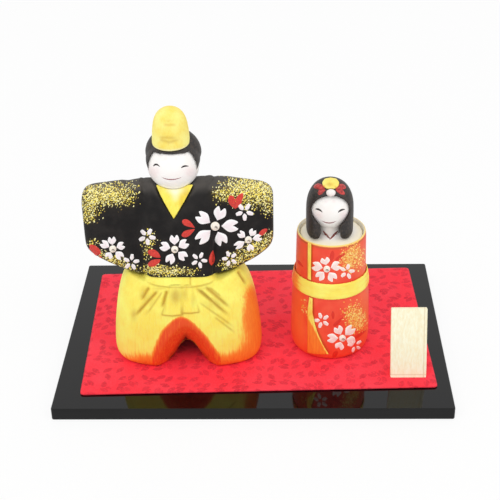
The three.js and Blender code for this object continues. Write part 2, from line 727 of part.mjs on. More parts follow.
function lowerLapel() {
  const top = obiBottom - gap;
  const left = lapel.x + lapel.width / 2;
  const flare = obiBottom - lapel.straight;
  const shape = new THREE.Shape();
  shape.moveTo(left, top);
  shape.lineTo(left - lapel.width / 2, flare);
  shape.lineTo(left - lapel.width / 2, lapel.foot);
  shape.lineTo(lapel.flareX, lapel.foot + lapel.width);
  const middle = (flare + lapel.foot) / 2;
  shape.quadraticCurveTo(left + 2 * lapel.width, middle, left + lapel.width, flare);
  shape.lineTo(left + lapel.width, top);
  shape.closePath();
  return onGown(shape);
}

// The white under-robe closes the gown's top as a low dome, resting on the ledge, with a socket for the neck.
const domeShares = [
  [1, 0],
  [0.94, 0.16],
  [0.8, 0.45],
  [0.6, 0.75],
  [0.42, 0.92],
];

function bodicePiece() {
  const radius = rimInner - gap;
  const [bottom, shoulder] = [ledge + gap, bodiceShoulder];
  const peak = shoulder + bodice.domeHeight;
  const dome = domeShares.map(([wide, up]) => [radius * wide, shoulder + bodice.domeHeight * up]);
  return turned([[0, bottom], [radius, bottom], ...dome, [0, peak]], smallRingSteps, gown.depthShare);
}

// Room for the dome under the hair, with the socket filled.
function bodiceRoom() {
  const radius = rimInner - gap;
  const shoulder = bodiceShoulder + gap;
  const dome = domeShares.map(([wide, up]) => [radius * wide + gap, shoulder + bodice.domeHeight * up]);
  const peak = shoulder + bodice.domeHeight;
  return turned([[0, ledge - overrun], [radius + gap, ledge - overrun], ...dome, [0, peak]],
    smallRingSteps, gown.depthShare);
}

// Egg-shaped head: its half width follows the height, narrower at the chin, on a neck peg.
function ladyHeadBody(offset) {
  const { halfWidth, halfHeight } = ladyHead;
  const egg = Array.from({ length: headSteps + 1 }, (_, step) => {
    const angle = -Math.PI / 2 + (step / headSteps) * Math.PI;
    const narrow = THREE.MathUtils.lerp(chinShare, 1, Math.min(1 + Math.sin(angle), 1));
    const height = ladyHeadZ + (halfHeight + offset) * Math.sin(angle);
    return [(halfWidth + offset) * Math.cos(angle) * narrow, height];
  });
  const neck = bodice.neckRadius + offset;
  const pegBottom = bodiceShoulder + bodice.domeHeight - bodice.socketDepth + gap - offset;
  const above = egg.filter(([radius, height]) => height > ladyHeadZ || radius > neck);
  const profile = [[0, pegBottom], [neck, pegBottom], [neck, above[0][1] - gap], ...above];
  profile[profile.length - 1][0] = 0;
  const deep = ladyHead.halfDepth / halfWidth;
  return turned(profile, smallRingSteps, deep);
}

const hairLevelShares = [
  [0, 0.92],
  [0.03, 0.97],
  [0.09, 1],
  [0.25, 1],
  [0.5, 1],
  [0.62, 0.975],
  [0.76, 0.87],
  [0.86, 0.72],
  [0.93, 0.53],
  [0.98, 0.29],
  [1, 0],
];
const hairRings = 11;

function ladyHairBody(offset) {
  const height = hairTop - hairBottom + offset;
  const side = levelsThrough(hairLevelShares, hairRings)
    .map(([up, wide]) => [ladyHair.radius * wide + offset, hairBottom + height * up]);
  side[side.length - 1][0] = 0;
  return turned([[0, hairBottom], ...side], smallRingSteps, ladyHair.depthShare);
}

function ladyFaceCut() {
  const { halfWidth } = faceOpening;
  const { halfWidth: neckHalf, lockHalf } = neckOpening;
  const [chin, middle] = [ladyHeadZ - faceOpening.chinDrop, ladyHeadZ + faceOpening.cheekRise];
  const top = ladyHeadZ + faceOpening.topRise;
  const [cheek, brow] = [(middle - chin) / 2, (top - middle) / 2];
  const shape = new THREE.Shape();
  const lock = (chin + hairBottom) / 2;
  shape.moveTo(-lockHalf, hairBottom - overrun);
  shape.lineTo(lockHalf, hairBottom - overrun);
  shape.lineTo(lockHalf, hairBottom);
  shape.quadraticCurveTo(neckHalf, hairBottom, neckHalf, lock);
  shape.lineTo(neckHalf, chin);
  shape.bezierCurveTo(neckHalf, chin + cheek / 2, halfWidth, middle - cheek, halfWidth, middle);
  shape.bezierCurveTo(halfWidth, middle + brow, halfWidth / 2, top, 0, top);
  shape.bezierCurveTo(-halfWidth / 2, top, -halfWidth, middle + brow, -halfWidth, middle);
  shape.bezierCurveTo(-halfWidth, middle - cheek, -neckHalf, chin + cheek / 2, -neckHalf, chin);
  shape.lineTo(-neckHalf, lock);
  shape.quadraticCurveTo(-neckHalf, hairBottom, -lockHalf, hairBottom);
  shape.closePath();
  return pushThrough(shape, -ladyHair.radius - overrun, 0);
}

// A small gold fan lies on the front of the crown, above a pearl.
function fanPiece() {
  const { halfWidth, height, thickness, pitch } = fan;
  const shape = new THREE.Shape();
  shape.moveTo(-halfWidth / 4, 0);
  shape.quadraticCurveTo(-halfWidth, height / 8, -halfWidth, height / 2);
  shape.bezierCurveTo(-halfWidth, height, halfWidth, height, halfWidth, height / 2);
  shape.quadraticCurveTo(halfWidth, height / 8, halfWidth / 4, 0);
  shape.closePath();
  const options = { depth: 2 * ladyHair.radius, bevelEnabled: false, curveSegments: curveSteps };
  const geometry = new THREE.ExtrudeGeometry(shape, options);
  geometry.translate(0, 0, -ladyHair.radius);
  geometry.rotateX(Math.PI / 2 - THREE.MathUtils.degToRad(pitch));
  const frontY = -ladyHair.radius * ladyHair.depthShare * fan.frontShare;
  const region = solidOf(geometry.translate(0, frontY, ladyHeadZ + fan.rise));
  return ladyHairBody(thickness + gap).intersect(region).subtract(ladyHairBody(gap)).subtract(pearlBall(gap));
}

// The pearl stands on the hair just over the middle of the hairline.
function pearlBall(offset) {
  const pearlZ = ladyHeadZ + pearl.rise;
  const up = (pearlZ - hairBottom) / (hairTop - hairBottom);
  const levels = levelsThrough(hairLevelShares, hairRings);
  const above = levels.findIndex(([level]) => level >= up);
  const surface = ladyHair.radius * levels[above][1] * ladyHair.depthShare;
  const [across, upright] = [pearl.halfWidth + offset, pearl.halfHeight + offset];
  return ball(across, upright, upright, 0, -surface - pearl.stand, pearlZ, beadSteps);
}

const ladyGroup = new THREE.Group();
ladyGroup.position.set(lady.x, lady.y, standing);
set.add(ladyGroup);

const toHead = (solid) => solid.translate(ladyHead.shift, ladyHead.y, 0);
const addLady = (name, solid, material) => addMesh(ladyGroup, name, geometryOf(solid), material);
addLady("empress_gown", gownPiece(), materials.vermilion);
addLady("empress_obi", obiPiece(), materials.goldClay);
addLady("empress_lapel_upper", upperLapel(), materials.goldClay);
addLady("empress_lapel_lower", lowerLapel(), materials.goldClay);
addLady("empress_under_robe", bodicePiece().subtract(toHead(ladyHeadBody(gap))), materials.faceWhite);
addLady("empress_head", toHead(ladyHeadBody(0)), materials.faceWhite);
const hairSolid = ladyHairBody(0).subtract(ladyHeadBody(gap)).subtract(ladyFaceCut());
addLady("empress_hair", toHead(hairSolid).subtract(bodiceRoom()), materials.hairBlack);
addLady("empress_hair_fan", toHead(fanPiece()), materials.goldClay);
const pearlSolid = pearlBall(0).subtract(ladyHairBody(gap)).subtract(ladyHeadBody(gap));
addLady("empress_pearl", toHead(pearlSolid), materials.pearlWhite);

export default set;
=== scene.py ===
# %% [markdown]
# # A pair of painted clay dolls on a display base
#
# The real set is hand-modelled clay: a lord with spread sleeves and a lady in a tube-shaped robe. Both are
# painted with matt colour, gold dust and cherry blossom, and stand on a crepe mat on a lacquered board. The
# CAD solids give every piece its place and size. This lesson gives them the softness of clay, the paint and
# the light.

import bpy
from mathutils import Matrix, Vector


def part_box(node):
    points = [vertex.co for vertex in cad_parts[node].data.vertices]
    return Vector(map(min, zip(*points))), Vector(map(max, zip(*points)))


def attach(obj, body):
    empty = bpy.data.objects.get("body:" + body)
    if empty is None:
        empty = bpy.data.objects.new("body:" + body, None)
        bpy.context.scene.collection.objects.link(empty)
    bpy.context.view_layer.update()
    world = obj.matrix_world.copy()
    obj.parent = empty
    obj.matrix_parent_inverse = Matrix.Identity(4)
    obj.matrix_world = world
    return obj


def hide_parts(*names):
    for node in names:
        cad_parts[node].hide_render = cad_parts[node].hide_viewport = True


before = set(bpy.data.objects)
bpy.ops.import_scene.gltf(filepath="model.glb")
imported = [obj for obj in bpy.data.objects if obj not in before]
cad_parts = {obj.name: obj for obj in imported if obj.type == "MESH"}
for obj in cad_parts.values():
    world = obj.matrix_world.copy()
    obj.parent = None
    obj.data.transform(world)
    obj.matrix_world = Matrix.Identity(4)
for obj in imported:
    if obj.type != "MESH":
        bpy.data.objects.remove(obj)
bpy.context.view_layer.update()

import math

import bmesh
import bpy
import numpy as np
from mathutils import Matrix, Vector
from mathutils.kdtree import KDTree

MM = 0.001

# %% [markdown]
# ## The camera
#
# The photograph looks down at the board by about 30 degrees, almost square on. The board is a rectangle, so
# its four corners fix the focal length and the angles. The three axes of the camera are kept as vectors,
# because the painted marks further down are laid out in the photograph's pixels and thrown onto the clay
# along the same rays.

# %% Camera
FRAME_PIXELS = 500
FOCAL_PIXELS = 1160.62
SENSOR = 36
CAMERA_PLACE = (15.77, -549.0, 381.78)
CAMERA_ANGLES = (30.37, -1.81, -1.24)
CLIP_START, CLIP_END = 0.01, 20
eye = Vector(CAMERA_PLACE) * MM
pitch, yaw, roll = (math.radians(angle) for angle in CAMERA_ANGLES)

level = Vector((math.sin(yaw), math.cos(yaw), 0))
side = Vector((math.cos(yaw), -math.sin(yaw), 0))
upright = Vector((0, 0, 1))
forward = level * math.cos(pitch) - upright * math.sin(pitch)
crown = level * math.sin(pitch) + upright * math.cos(pitch)
right = side * math.cos(roll) + crown * math.sin(roll)
above = crown * math.cos(roll) - side * math.sin(roll)

camera = bpy.data.objects.new("camera", bpy.data.cameras.new("camera"))
bpy.context.collection.objects.link(camera)
camera.data.sensor_width = SENSOR
camera.data.lens = FOCAL_PIXELS / FRAME_PIXELS * SENSOR
camera.matrix_world = Matrix((right, above, -forward)).transposed().to_4x4()
camera.matrix_world.translation = eye
camera.data.clip_start, camera.data.clip_end = CLIP_START, CLIP_END
bpy.context.scene.camera = camera
bpy.context.scene.view_settings.view_transform = "Standard"
print("lens", round(camera.data.lens, 2), "mm")

# %% [markdown]
# ## Writing a finish as a sum
#
# A painted surface is a stack of masks: where the dust lies, where the orange begins, how the brush streaks
# run. Such masks are easier to read as arithmetic than as a picture of nodes. So one small class wraps a
# socket and turns Python's operators into Math nodes, and one method adds every other node.

# %% Sockets with operators
class Wire:
    """A node's output, which Python's operators join to new Math nodes."""

    def __init__(self, nodes, socket):
        self.nodes = nodes
        self.socket = socket

    def __add__(self, other):
        return self.nodes.sum("ADD", self, other)

    def __sub__(self, other):
        return self.nodes.sum("SUBTRACT", self, other)

    def __rsub__(self, other):
        return self.nodes.sum("SUBTRACT", other, self)

    def __mul__(self, other):
        return self.nodes.sum("MULTIPLY", self, other)

    def __gt__(self, other):
        return self.nodes.sum("GREATER_THAN", self, other)

    __radd__ = __add__
    __rmul__ = __mul__


# %% One method for nodes
def as_light(part):
    """One value of a written colour, from 0 to 1, as an amount of light."""
    return part / 12.92 if part <= 0.04045 else ((part + 0.055) / 1.055) ** 2.4


def linear(colour):
    """A colour written as RRGGBB, as the numbers that a shader works with."""
    return [as_light(int(colour[start:start + 2], 16) / 255) for start in (0, 2, 4)] + [1]


class Nodes:
    """A node tree that is written as expressions."""

    def __init__(self, tree):
        self.tree = tree

    def feed(self, socket, value):
        if isinstance(value, Wire):
            self.tree.links.new(value.socket, socket)
        elif socket.type == "RGBA":
            socket.default_value = linear(value)
        else:
            socket.default_value = value

    def node(self, kind, settings=None, sockets=None, output=0):
        made = self.tree.nodes.new(kind)
        for name, value in (settings or {}).items():
            setattr(made, name, value)
        for name, value in (sockets or {}).items():
            self.feed(made.inputs[name], value)
        return Wire(self, made.outputs[output])

    def sum(self, operation, *terms):
        return self.node("ShaderNodeMath", {"operation": operation}, dict(enumerate(terms)))

    def vector(self, operation, *terms):
        return self.node("ShaderNodeVectorMath", {"operation": operation}, dict(enumerate(terms)))

    def part(self, vector, axis):
        """One axis of a vector: X, Y or Z."""
        return self.node("ShaderNodeSeparateXYZ", {}, {0: vector}, axis)


class Finish(Nodes):
    """A material that is written as expressions."""

    def __init__(self, name, colour="808080", roughness=0.6, **constants):
        self.material = bpy.data.materials.new(name)
        self.material.use_nodes = True
        super().__init__(self.material.node_tree)
        self.surface = self.tree.nodes["Principled BSDF"]
        self.set(Base_Color=colour, Roughness=roughness, **constants)

    def set(self, **values):
        for name, value in values.items():
            self.feed(self.surface.inputs[name.replace("_", " ")], value)

    def place(self, stretch=(1, 1, 1)):
        """The point on the piece in millimetres, squeezed or stretched along each axis."""
        point = self.node("ShaderNodeTexCoord", output="Object")
        return self.vector("MULTIPLY", point, [1 / MM * share for share in stretch])

    def noise(self, scale, detail=3, stretch=(1, 1, 1), output="Fac"):
        sockets = {"Vector": self.place(stretch), "Scale": scale, "Detail": detail}
        return self.node("ShaderNodeTexNoise", {}, sockets, output)

    def attribute(self, name):
        return self.node("ShaderNodeAttribute", {"attribute_name": name}, {}, "Fac")

    def ease(self, value, low, high):
        """0 below low, 1 above high and a soft step between them."""
        sockets = {"Value": value, "From Min": low, "From Max": high}
        return self.node("ShaderNodeMapRange", {"interpolation_type": "SMOOTHSTEP"}, sockets)

    def mix(self, share, first, second):
        """The first colour where share is 0, the second where it is 1."""
        return self.node("ShaderNodeMix", {"data_type": "RGBA"}, {0: share, 6: first, 7: second}, 2)

    def layers(self, colour, *coats):
        """A colour with coats over it. A coat is how much of it shows, and its colour."""
        for share, coat in coats:
            colour = self.mix(share, colour, coat)
        return colour

    def relief(self, height, distance, strength=1):
        """Feeds a height in millimetres of distance to the surface's normal."""
        sockets = {"Height": height, "Distance": distance * MM, "Strength": strength}
        self.set(Normal=self.node("ShaderNodeBump", {}, sockets))


print("mid grey as light", round(linear("808080")[0], 3))

# %% [markdown]
# ## From facets to clay
#
# The CAD solids are faceted, and fired clay has no facet and no knife edge anywhere. A copy of a solid is
# rebuilt from small cubes of space with a voxel remesh, which also melts overlapping solids into one skin.
# Then each point moves towards its neighbours' middle many times. Near the solid's real edges it moves
# less, so that a hem stays a hem while the broad facets vanish.

# %% Clay copies of CAD nodes
SHARP_ANGLE = math.radians(38)
EDGE_SPACING = 0.8 * MM
LONGEST_STEP = 0.5
NOWHERE = Vector((9, 9, 9))
detail_share = 1


def joined_nodes(names, grow=0):
    """The CAD nodes' triangles as closed solids, each point moved out by grow."""
    solid = bmesh.new()
    for name in names:
        solid.from_mesh(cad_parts[name].data)
    bmesh.ops.remove_doubles(solid, verts=solid.verts, dist=1e-6)
    solid.normal_update()
    for corner in solid.verts:
        corner.co += corner.normal * grow * MM
    return solid


def edge_tree(solid):
    """A search tree of points along the solid's sharp edges."""
    points = []
    for edge in solid.edges:
        if edge.is_manifold and edge.calc_face_angle(0) > SHARP_ANGLE:
            start, end = (corner.co.copy() for corner in edge.verts)
            count = max(1, int((end - start).length / EDGE_SPACING))
            points += [start.lerp(end, step / count) for step in range(count + 1)]
    tree = KDTree(max(1, len(points)))
    for index, point in enumerate(points or [NOWHERE]):
        tree.insert(point, index)
    tree.balance()
    return tree


def vectors_of(piece, kind):
    """One vector for each point of the piece: its place or the direction it faces."""
    flat = np.empty(len(piece.data.vertices) * 3)
    piece.data.vertices.foreach_get(kind, flat)
    return flat.reshape(-1, 3)


def points_of(piece):
    """The piece's points as an array in millimetres."""
    return vectors_of(piece, "co") / MM


def normals_of(piece):
    return vectors_of(piece, "normal")


def move_points(piece, points):
    piece.data.vertices.foreach_set("co", (points * MM).ravel())
    piece.data.update()


def soften(piece, rounds, shares):
    """Moves every point towards its neighbours' middle, by its own share, in each round."""
    points = points_of(piece)
    ends = np.empty(len(piece.data.edges) * 2, dtype=int)
    piece.data.edges.foreach_get("vertices", ends)
    first, second = ends.reshape(-1, 2).T
    count = len(points)
    neighbours = np.bincount(first, minlength=count) + np.bincount(second, minlength=count)
    for _ in range(rounds):
        middle = np.empty_like(points)
        for axis in range(3):
            total = np.bincount(first, points[second, axis], count)
            total += np.bincount(second, points[first, axis], count)
            middle[:, axis] = total / neighbours
        points += shares[:, None] * (middle - points)
    move_points(piece, points)


def plain_object(name, mesh):
    piece = bpy.data.objects.new(name, mesh)
    bpy.context.collection.objects.link(piece)
    return piece


def object_from(name, solid):
    """Turns a bmesh into an object and frees it."""
    mesh = bpy.data.meshes.new(name)
    solid.to_mesh(mesh)
    solid.free()
    return plain_object(name, mesh)


def baked(piece):
    """The piece with its modifiers turned into plain mesh."""
    graph = bpy.context.evaluated_depsgraph_get()
    mesh = bpy.data.meshes.new_from_object(piece.evaluated_get(graph))
    piece.modifiers.clear()
    piece.data = mesh
    return piece


def clay(*nodes, voxel=0.5, rounds=40, grow=0, keep=0.15, reach=2.5):
    """A soft copy of CAD nodes. keep is how far an edge may soften, reach how far its hold goes."""
    solid = joined_nodes(nodes, grow)
    edges = edge_tree(solid)
    piece = object_from(nodes[0] + "_clay", solid)
    remesh = piece.modifiers.new("remesh", "REMESH")
    remesh.mode = "VOXEL"
    remesh.voxel_size = voxel * detail_share * MM
    baked(piece)
    away = np.array([edges.find(corner.co)[2] for corner in piece.data.vertices]) / MM
    share = np.clip(away / reach, 0, 1) ** 2
    soften(piece, int(rounds / detail_share), LONGEST_STEP * (keep + (1 - keep) * share))
    return piece


def finished(piece, finish, body, slot, *nodes):
    """Gives the piece its finish and its body, and hides the CAD nodes that it stands for. slot is not used.
    """
    piece.data.materials.clear()
    piece.data.materials.append(finish.material)
    piece.data.polygons.foreach_set("use_smooth", [True] * len(piece.data.polygons))
    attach(piece, body)
    if nodes:
        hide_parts(*nodes)
    print(piece.name, len(piece.data.polygons), "faces")
    return piece


def keep_values(mesh, name, values):
    """Keeps one number on every point of a mesh, for nodes to read by name."""
    layer = mesh.attributes.new(name, "FLOAT", "POINT")
    layer.data.foreach_set("value", np.ravel(values))


def paint_mask(piece, name, values):
    """Keeps a value from 0 to 1 on every point of a piece, for its finish."""
    keep_values(piece.data, name, np.clip(values, 0, 1))


def step_up(value, low, high):
    """numpy's form of the soft step that the finishes use."""
    share = np.clip((value - low) / (high - low), 0, 1)
    return share * share * (3 - 2 * share)


print("voxels are", detail_share, "times their final size")

# %% [markdown]
# ## Marks laid out in the photograph
#
# Petals, leaves, dust, eyes and lips are paint on round clay. The photograph shows where each lies in the
# picture, so they are drawn flat in a picture plane: x and y are pixels from the middle of the frame, z is
# how thick the paint stands in millimetres. The camera's own rays then carry each drawn point onto the
# clay. The same view gives every point of the clay its own pixel, for masks such as the blush on a cheek or
# the orange at a hem.

# %% From clay to pixels
def pixels_of(points):
    """Where points in millimetres appear in the photograph: pixels across and pixels down."""
    away = points * MM - np.array(eye)
    scale = FOCAL_PIXELS / (away @ np.array(forward))
    middle = FRAME_PIXELS / 2
    return middle + away @ np.array(right) * scale, middle - away @ np.array(above) * scale


def picture_of(piece):
    """Where each point of a piece appears in the photograph."""
    return pixels_of(points_of(piece))


def facing_camera(piece):
    """1 on points that the camera sees squarely, 0 on points that face away."""
    towards = np.array(eye) / MM - points_of(piece)
    towards /= np.linalg.norm(towards, axis=1)[:, None]
    return step_up((normals_of(piece) * towards).sum(axis=1), 0, 0.2)


def puffs_at(across, down, puffs, power=1.3):
    """How thick soft puffs lie at given pixels. A puff is its middle, its two radii and its strength."""
    total = np.zeros(np.shape(across))
    for x, y, wide, high, strength in puffs:
        total += strength * np.exp(-((((across - x) / wide) ** 2 + ((down - y) / high) ** 2) ** power))
    return total


def puff_mask(piece, name, puffs):
    """Keeps how thick puffs lie on the clay that the camera sees."""
    paint_mask(piece, name, puffs_at(*picture_of(piece), puffs) * facing_camera(piece))


board_foot = np.array([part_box("base_board")[0]]) / MM
print("front left foot of the board at pixel", [round(float(place[0]), 1) for place in pixels_of(board_foot)])

# %% From pixels to clay
RAY_LENGTH = 5
GRAIN = {"narrow": 0.3, "wide": 0.95, "roundness": 0.55, "thick": 0.12}


def throw_tree(kind):
    """Nodes that put marks or dust on a flat drawing and throw it onto a surface along the camera's rays."""
    tree = bpy.data.node_groups.new("throw " + kind, "GeometryNodeTree")
    inputs = {"Drawing": "Geometry", "Surface": "Object", "Mark": "Object", "Finish": "Material"}
    inputs |= {"Density": "Float", "Eye": "Vector", "Forward": "Vector", "Right": "Vector"}
    inputs |= {"Above": "Vector", "Focal": "Float"}
    for name, sort in inputs.items():
        tree.interface.new_socket(name, in_out="INPUT", socket_type="NodeSocket" + sort)
    tree.interface.new_socket("Painted", in_out="OUTPUT", socket_type="NodeSocketGeometry")
    nodes = Nodes(tree)
    given = tree.nodes.new("NodeGroupInput")

    def value(name):
        return Wire(nodes, given.outputs[name])

    def stored(name, sort="FLOAT"):
        return nodes.node("GeometryNodeInputNamedAttribute", {"data_type": sort}, {"Name": name})

    def chance(low, high, seed):
        return nodes.node("FunctionNodeRandomValue", {}, {2: low, 3: high, "Seed": seed}, 1)

    def scaled(vector, share):
        return nodes.node("ShaderNodeVectorMath", {"operation": "SCALE"}, {0: vector, "Scale": share})

    def step(sort, output=0, **sockets):
        named = {name.replace("_", " "): given_value for name, given_value in sockets.items()}
        return nodes.node("GeometryNode" + sort, {}, named, output)

    drawing, turn, size = value("Drawing"), stored("turn"), stored("size", "FLOAT_VECTOR")
    if kind == "dust":
        thickness = stored("thick") * value("Density")
        drawing = step("DistributePointsOnFaces", Mesh=drawing, Density=thickness, Seed=4)
        width = chance(GRAIN["narrow"], GRAIN["wide"], 5)
        turn = chance(0, 2 * math.pi, 7)
        parts = {"X": width, "Y": width * chance(GRAIN["roundness"], 1, 6), "Z": GRAIN["thick"]}
        size = nodes.node("ShaderNodeCombineXYZ", {}, parts)
    if kind != "strokes":
        mark = step("ObjectInfo", "Geometry", Object=value("Mark"))
        spin = nodes.node("ShaderNodeCombineXYZ", {}, {"Z": turn})
        marks = step("InstanceOnPoints", Points=drawing, Instance=mark, Rotation=spin, Scale=size)
        sockets = {"Geometry": marks, "Name": "tone", "Value": chance(0, 1, 8)}
        toned = nodes.node("GeometryNodeStoreNamedAttribute", {"domain": "INSTANCE"}, sockets)
        drawing = step("RealizeInstances", Geometry=toned)

    x, y, height = (nodes.part(nodes.node("GeometryNodeInputPosition"), axis) for axis in "XYZ")
    aside = nodes.vector("ADD", scaled(value("Right"), x), scaled(value("Above"), y))
    ray = nodes.vector("ADD", scaled(value("Forward"), value("Focal")), aside)
    surface = step("ObjectInfo", "Geometry", Object=value("Surface"))
    ray_sockets = {"Source_Position": value("Eye"), "Ray_Direction": ray, "Ray_Length": RAY_LENGTH}
    hit = step("Raycast", "Is Hit", Target_Geometry=surface, **ray_sockets)
    spot, slope = (Wire(nodes, hit.socket.node.outputs[name]) for name in ("Hit Position", "Hit Normal"))
    kept = step("DeleteGeometry", Geometry=drawing, Selection=1 - hit)
    place = nodes.vector("ADD", spot, scaled(slope, height * MM))
    moved = step("SetPosition", Geometry=kept, Position=place)
    painted = step("SetMaterial", Geometry=moved, Material=value("Finish"))
    tree.links.new(painted.socket, tree.nodes.new("NodeGroupOutput").inputs[0])
    return tree


throw_trees = {kind: throw_tree(kind) for kind in ("marks", "dust", "strokes")}


def thrown(name, kind, drawing, surface, finish, body, slot, mark=None, density=0):
    """Throws a flat drawing onto a surface and finishes it as a piece of its own."""
    piece = plain_object(name, drawing)
    modifier = piece.modifiers.new("throw", "NODES")
    modifier.node_group = throw_trees[kind]
    values = {"Surface": surface, "Mark": mark, "Finish": finish.material, "Density": float(density)}
    values |= {"Eye": eye, "Forward": forward, "Right": right, "Above": above, "Focal": FOCAL_PIXELS}
    for item in modifier.node_group.interface.items_tree:
        if item.name in values:
            modifier[item.identifier] = values[item.name]
    return finished(baked(piece), finish, body, slot)


print("trees that throw", list(throw_trees))

# %% Petals, flakes and strokes as flat drawings
def grid_mesh(name, sheets, **attributes):
    """Sheets of rows and columns of points as one mesh, with a value for every point by name."""
    points, faces = [], []
    for sheet in sheets:
        rows, columns = sheet.shape[:2]
        for row in range(rows - 1):
            for column in range(columns - 1):
                here = len(points) + row * columns + column
                faces.append((here, here + columns, here + columns + 1, here + 1))
        points += sheet.reshape(-1, 3).tolist()
    mesh = bpy.data.meshes.new(name)
    mesh.from_pydata(points, [], faces)
    for attribute, values in attributes.items():
        keep_values(mesh, attribute, values)
    return mesh


def petal_mark(name, notch, shoulder, full, slim):
    """A petal of unit size along x, pointed at its base. notch cuts its outer end into two lobes."""
    along, across = np.meshgrid(np.linspace(0.02, 1, 11), np.linspace(-1, 1, 17), indexing="ij")
    from_middle = np.abs(across)
    cut = notch * np.clip(1 - from_middle / 0.5, 0, 1) ** 1.25
    end = 1 - cut - shoulder * np.clip(from_middle / 0.5 - 1, 0, 1) ** 2
    half = 0.5 * np.sin(math.pi / 2 * np.clip(along / full, 0, 1)) ** slim
    swell = (1 - across ** 4) * (1 - (2 * along - 1) ** 6)
    inside = 1 - np.maximum(from_middle ** 3, along ** 6)
    sheet = np.stack([along * end, across * half, swell], -1)
    return plain_object(name, grid_mesh(name, [sheet], inside=inside))


def flake_mark():
    """A grain of gold dust: a low six-sided cone of unit radius."""
    corners = [(math.cos(turn), math.sin(turn), 0) for turn in np.linspace(0, 2 * math.pi, 7)[:-1]]
    mesh = bpy.data.meshes.new("flake")
    mesh.from_pydata([(0, 0, 1)] + corners, [], [(0, 1 + step, 1 + (step + 1) % 6) for step in range(6)])
    return plain_object("flake", mesh)


def bead_mark():
    """A dome of unit radius and height with a small pit, for the dot in the middle of a blossom. One side of
    the pit is marked for painted shade.
    """
    tilts, turns = np.linspace(0.01, 0.5, 17) * math.pi, np.linspace(0, 2 * math.pi, 41)
    tilt, turn = np.meshgrid(tilts, turns, indexing="ij")
    x, y = np.sin(tilt) * np.cos(turn), np.sin(tilt) * np.sin(turn)
    from_pit = np.hypot(x - 0.1, y + 0.3)
    # The dark crescent down one side of the pit is painted shade.
    pit = np.exp(-(((from_pit - 0.3) / 0.17) ** 2)) * step_up(y + 0.5 * x, -0.75, 0.1)
    sheet = np.stack([x, y, np.cos(tilt) - 0.25 * np.exp(-((from_pit / 0.4) ** 2))], -1)
    return plain_object("bead", grid_mesh("bead", [sheet], pit=pit))


def flat(x, y):
    """A photo pixel as a point of the picture plane."""
    return np.array([x - FRAME_PIXELS / 2, FRAME_PIXELS / 2 - y])


def marks_mesh(name, rows):
    """Points that carry a turn and a size. A row is a base pixel, a tip pixel, a width and a thickness."""
    mesh = bpy.data.meshes.new(name)
    bases = [flat(*base) for base, *_ in rows]
    ways = [flat(*tip) - base for (_, tip, *_), base in zip(rows, bases)]
    mesh.from_pydata([(*base, 0) for base in bases], [], [])
    keep_values(mesh, "turn", [math.atan2(way[1], way[0]) for way in ways])
    sizes = mesh.attributes.new("size", "FLOAT_VECTOR", "POINT")
    values = [(np.linalg.norm(way), width, thickness) for way, (_, _, width, thickness) in zip(ways, rows)]
    sizes.data.foreach_set("vector", np.ravel(values))
    return mesh


def strokes_mesh(name, rows, steps=11):
    """Brush strokes. A row is three pixels on the way, a width, where it is fattest and a thickness."""
    way = np.linspace(0.02, 0.98, steps)[:, None]
    sheets = []
    for start, middle, end, width, fattest, thickness in rows:
        line = flat(*start) * (1 - way) * (1 - 2 * way) + 4 * flat(*middle) * way * (1 - way)
        line = line + flat(*end) * way * (2 * way - 1)
        heading = np.gradient(line, axis=0)
        heading /= np.linalg.norm(heading, axis=1)[:, None]
        aside = np.stack([-heading[:, 1], heading[:, 0]], -1)
        fullness = np.sin(math.pi * way ** (math.log(0.5) / math.log(fattest))) ** 0.6
        across = np.linspace(-1, 1, 5)
        flat_part = line[:, None] - (aside * fullness * width / 2)[:, None] * across[:, None]
        height = thickness * fullness * (1 - across ** 2)
        sheets.append(np.concatenate([flat_part, height[..., None]], -1))
    return grid_mesh(name, sheets)


def spray_mesh(name, puffs, step=2):
    """A grid over all the puffs that carries how thick the dust lies."""
    low = [min(puff[axis] - 2 * puff[axis + 2] for puff in puffs) for axis in (0, 1)]
    high = [max(puff[axis] + 2 * puff[axis + 2] for puff in puffs) for axis in (0, 1)]
    down, across = np.meshgrid(*(np.arange(low[axis], high[axis], step) for axis in (1, 0)), indexing="ij")
    plane = np.stack([across - FRAME_PIXELS / 2, FRAME_PIXELS / 2 - down, np.zeros_like(down)], -1)
    return grid_mesh(name, [plane], thick=puffs_at(across, down, puffs))


def throw_marks(name, rows, mark, surface, finish, body, slot):
    """Throws petals or dots, one for each row."""
    thrown(name, "marks", marks_mesh(name, rows), surface, finish, body, slot, mark)


def throw_strokes(name, rows, surface, finish, body, slot):
    """Throws brush strokes, one for each row."""
    thrown(name, "strokes", strokes_mesh(name, rows), surface, finish, body, slot)


def throw_dust(name, puffs, density, surface, finish, body, slot):
    """Throws grains, thickest where the puffs are."""
    thrown(name, "dust", spray_mesh(name, puffs), surface, finish, body, slot, flake, density)


heart_petal = petal_mark("heart_petal", notch=0.31, shoulder=0.36, full=0.86, slim=1.15)
oval_petal = petal_mark("oval_petal", notch=0, shoulder=0.45, full=0.75, slim=0.9)
flake, bead = flake_mark(), bead_mark()
unit_marks = [heart_petal, oval_petal, flake, bead]
print("unit marks", [mark.name for mark in unit_marks])

# %% [markdown]
# ## The board
#
# The base is fibreboard or wood under black lacquer. Its top is polished to a mirror, and its edges are
# only satin. The CAD solid already has the right softened edges, so it stays, and gets a finish that tells
# top from edge by the direction the surface faces.

# %% Black lacquer
def coated(name, finish):
    """Gives a finish to a CAD node that keeps its shape."""
    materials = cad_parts[name].data.materials
    materials.clear()
    materials.append(finish.material)
    print(name, "finish", len(finish.tree.nodes), "nodes")


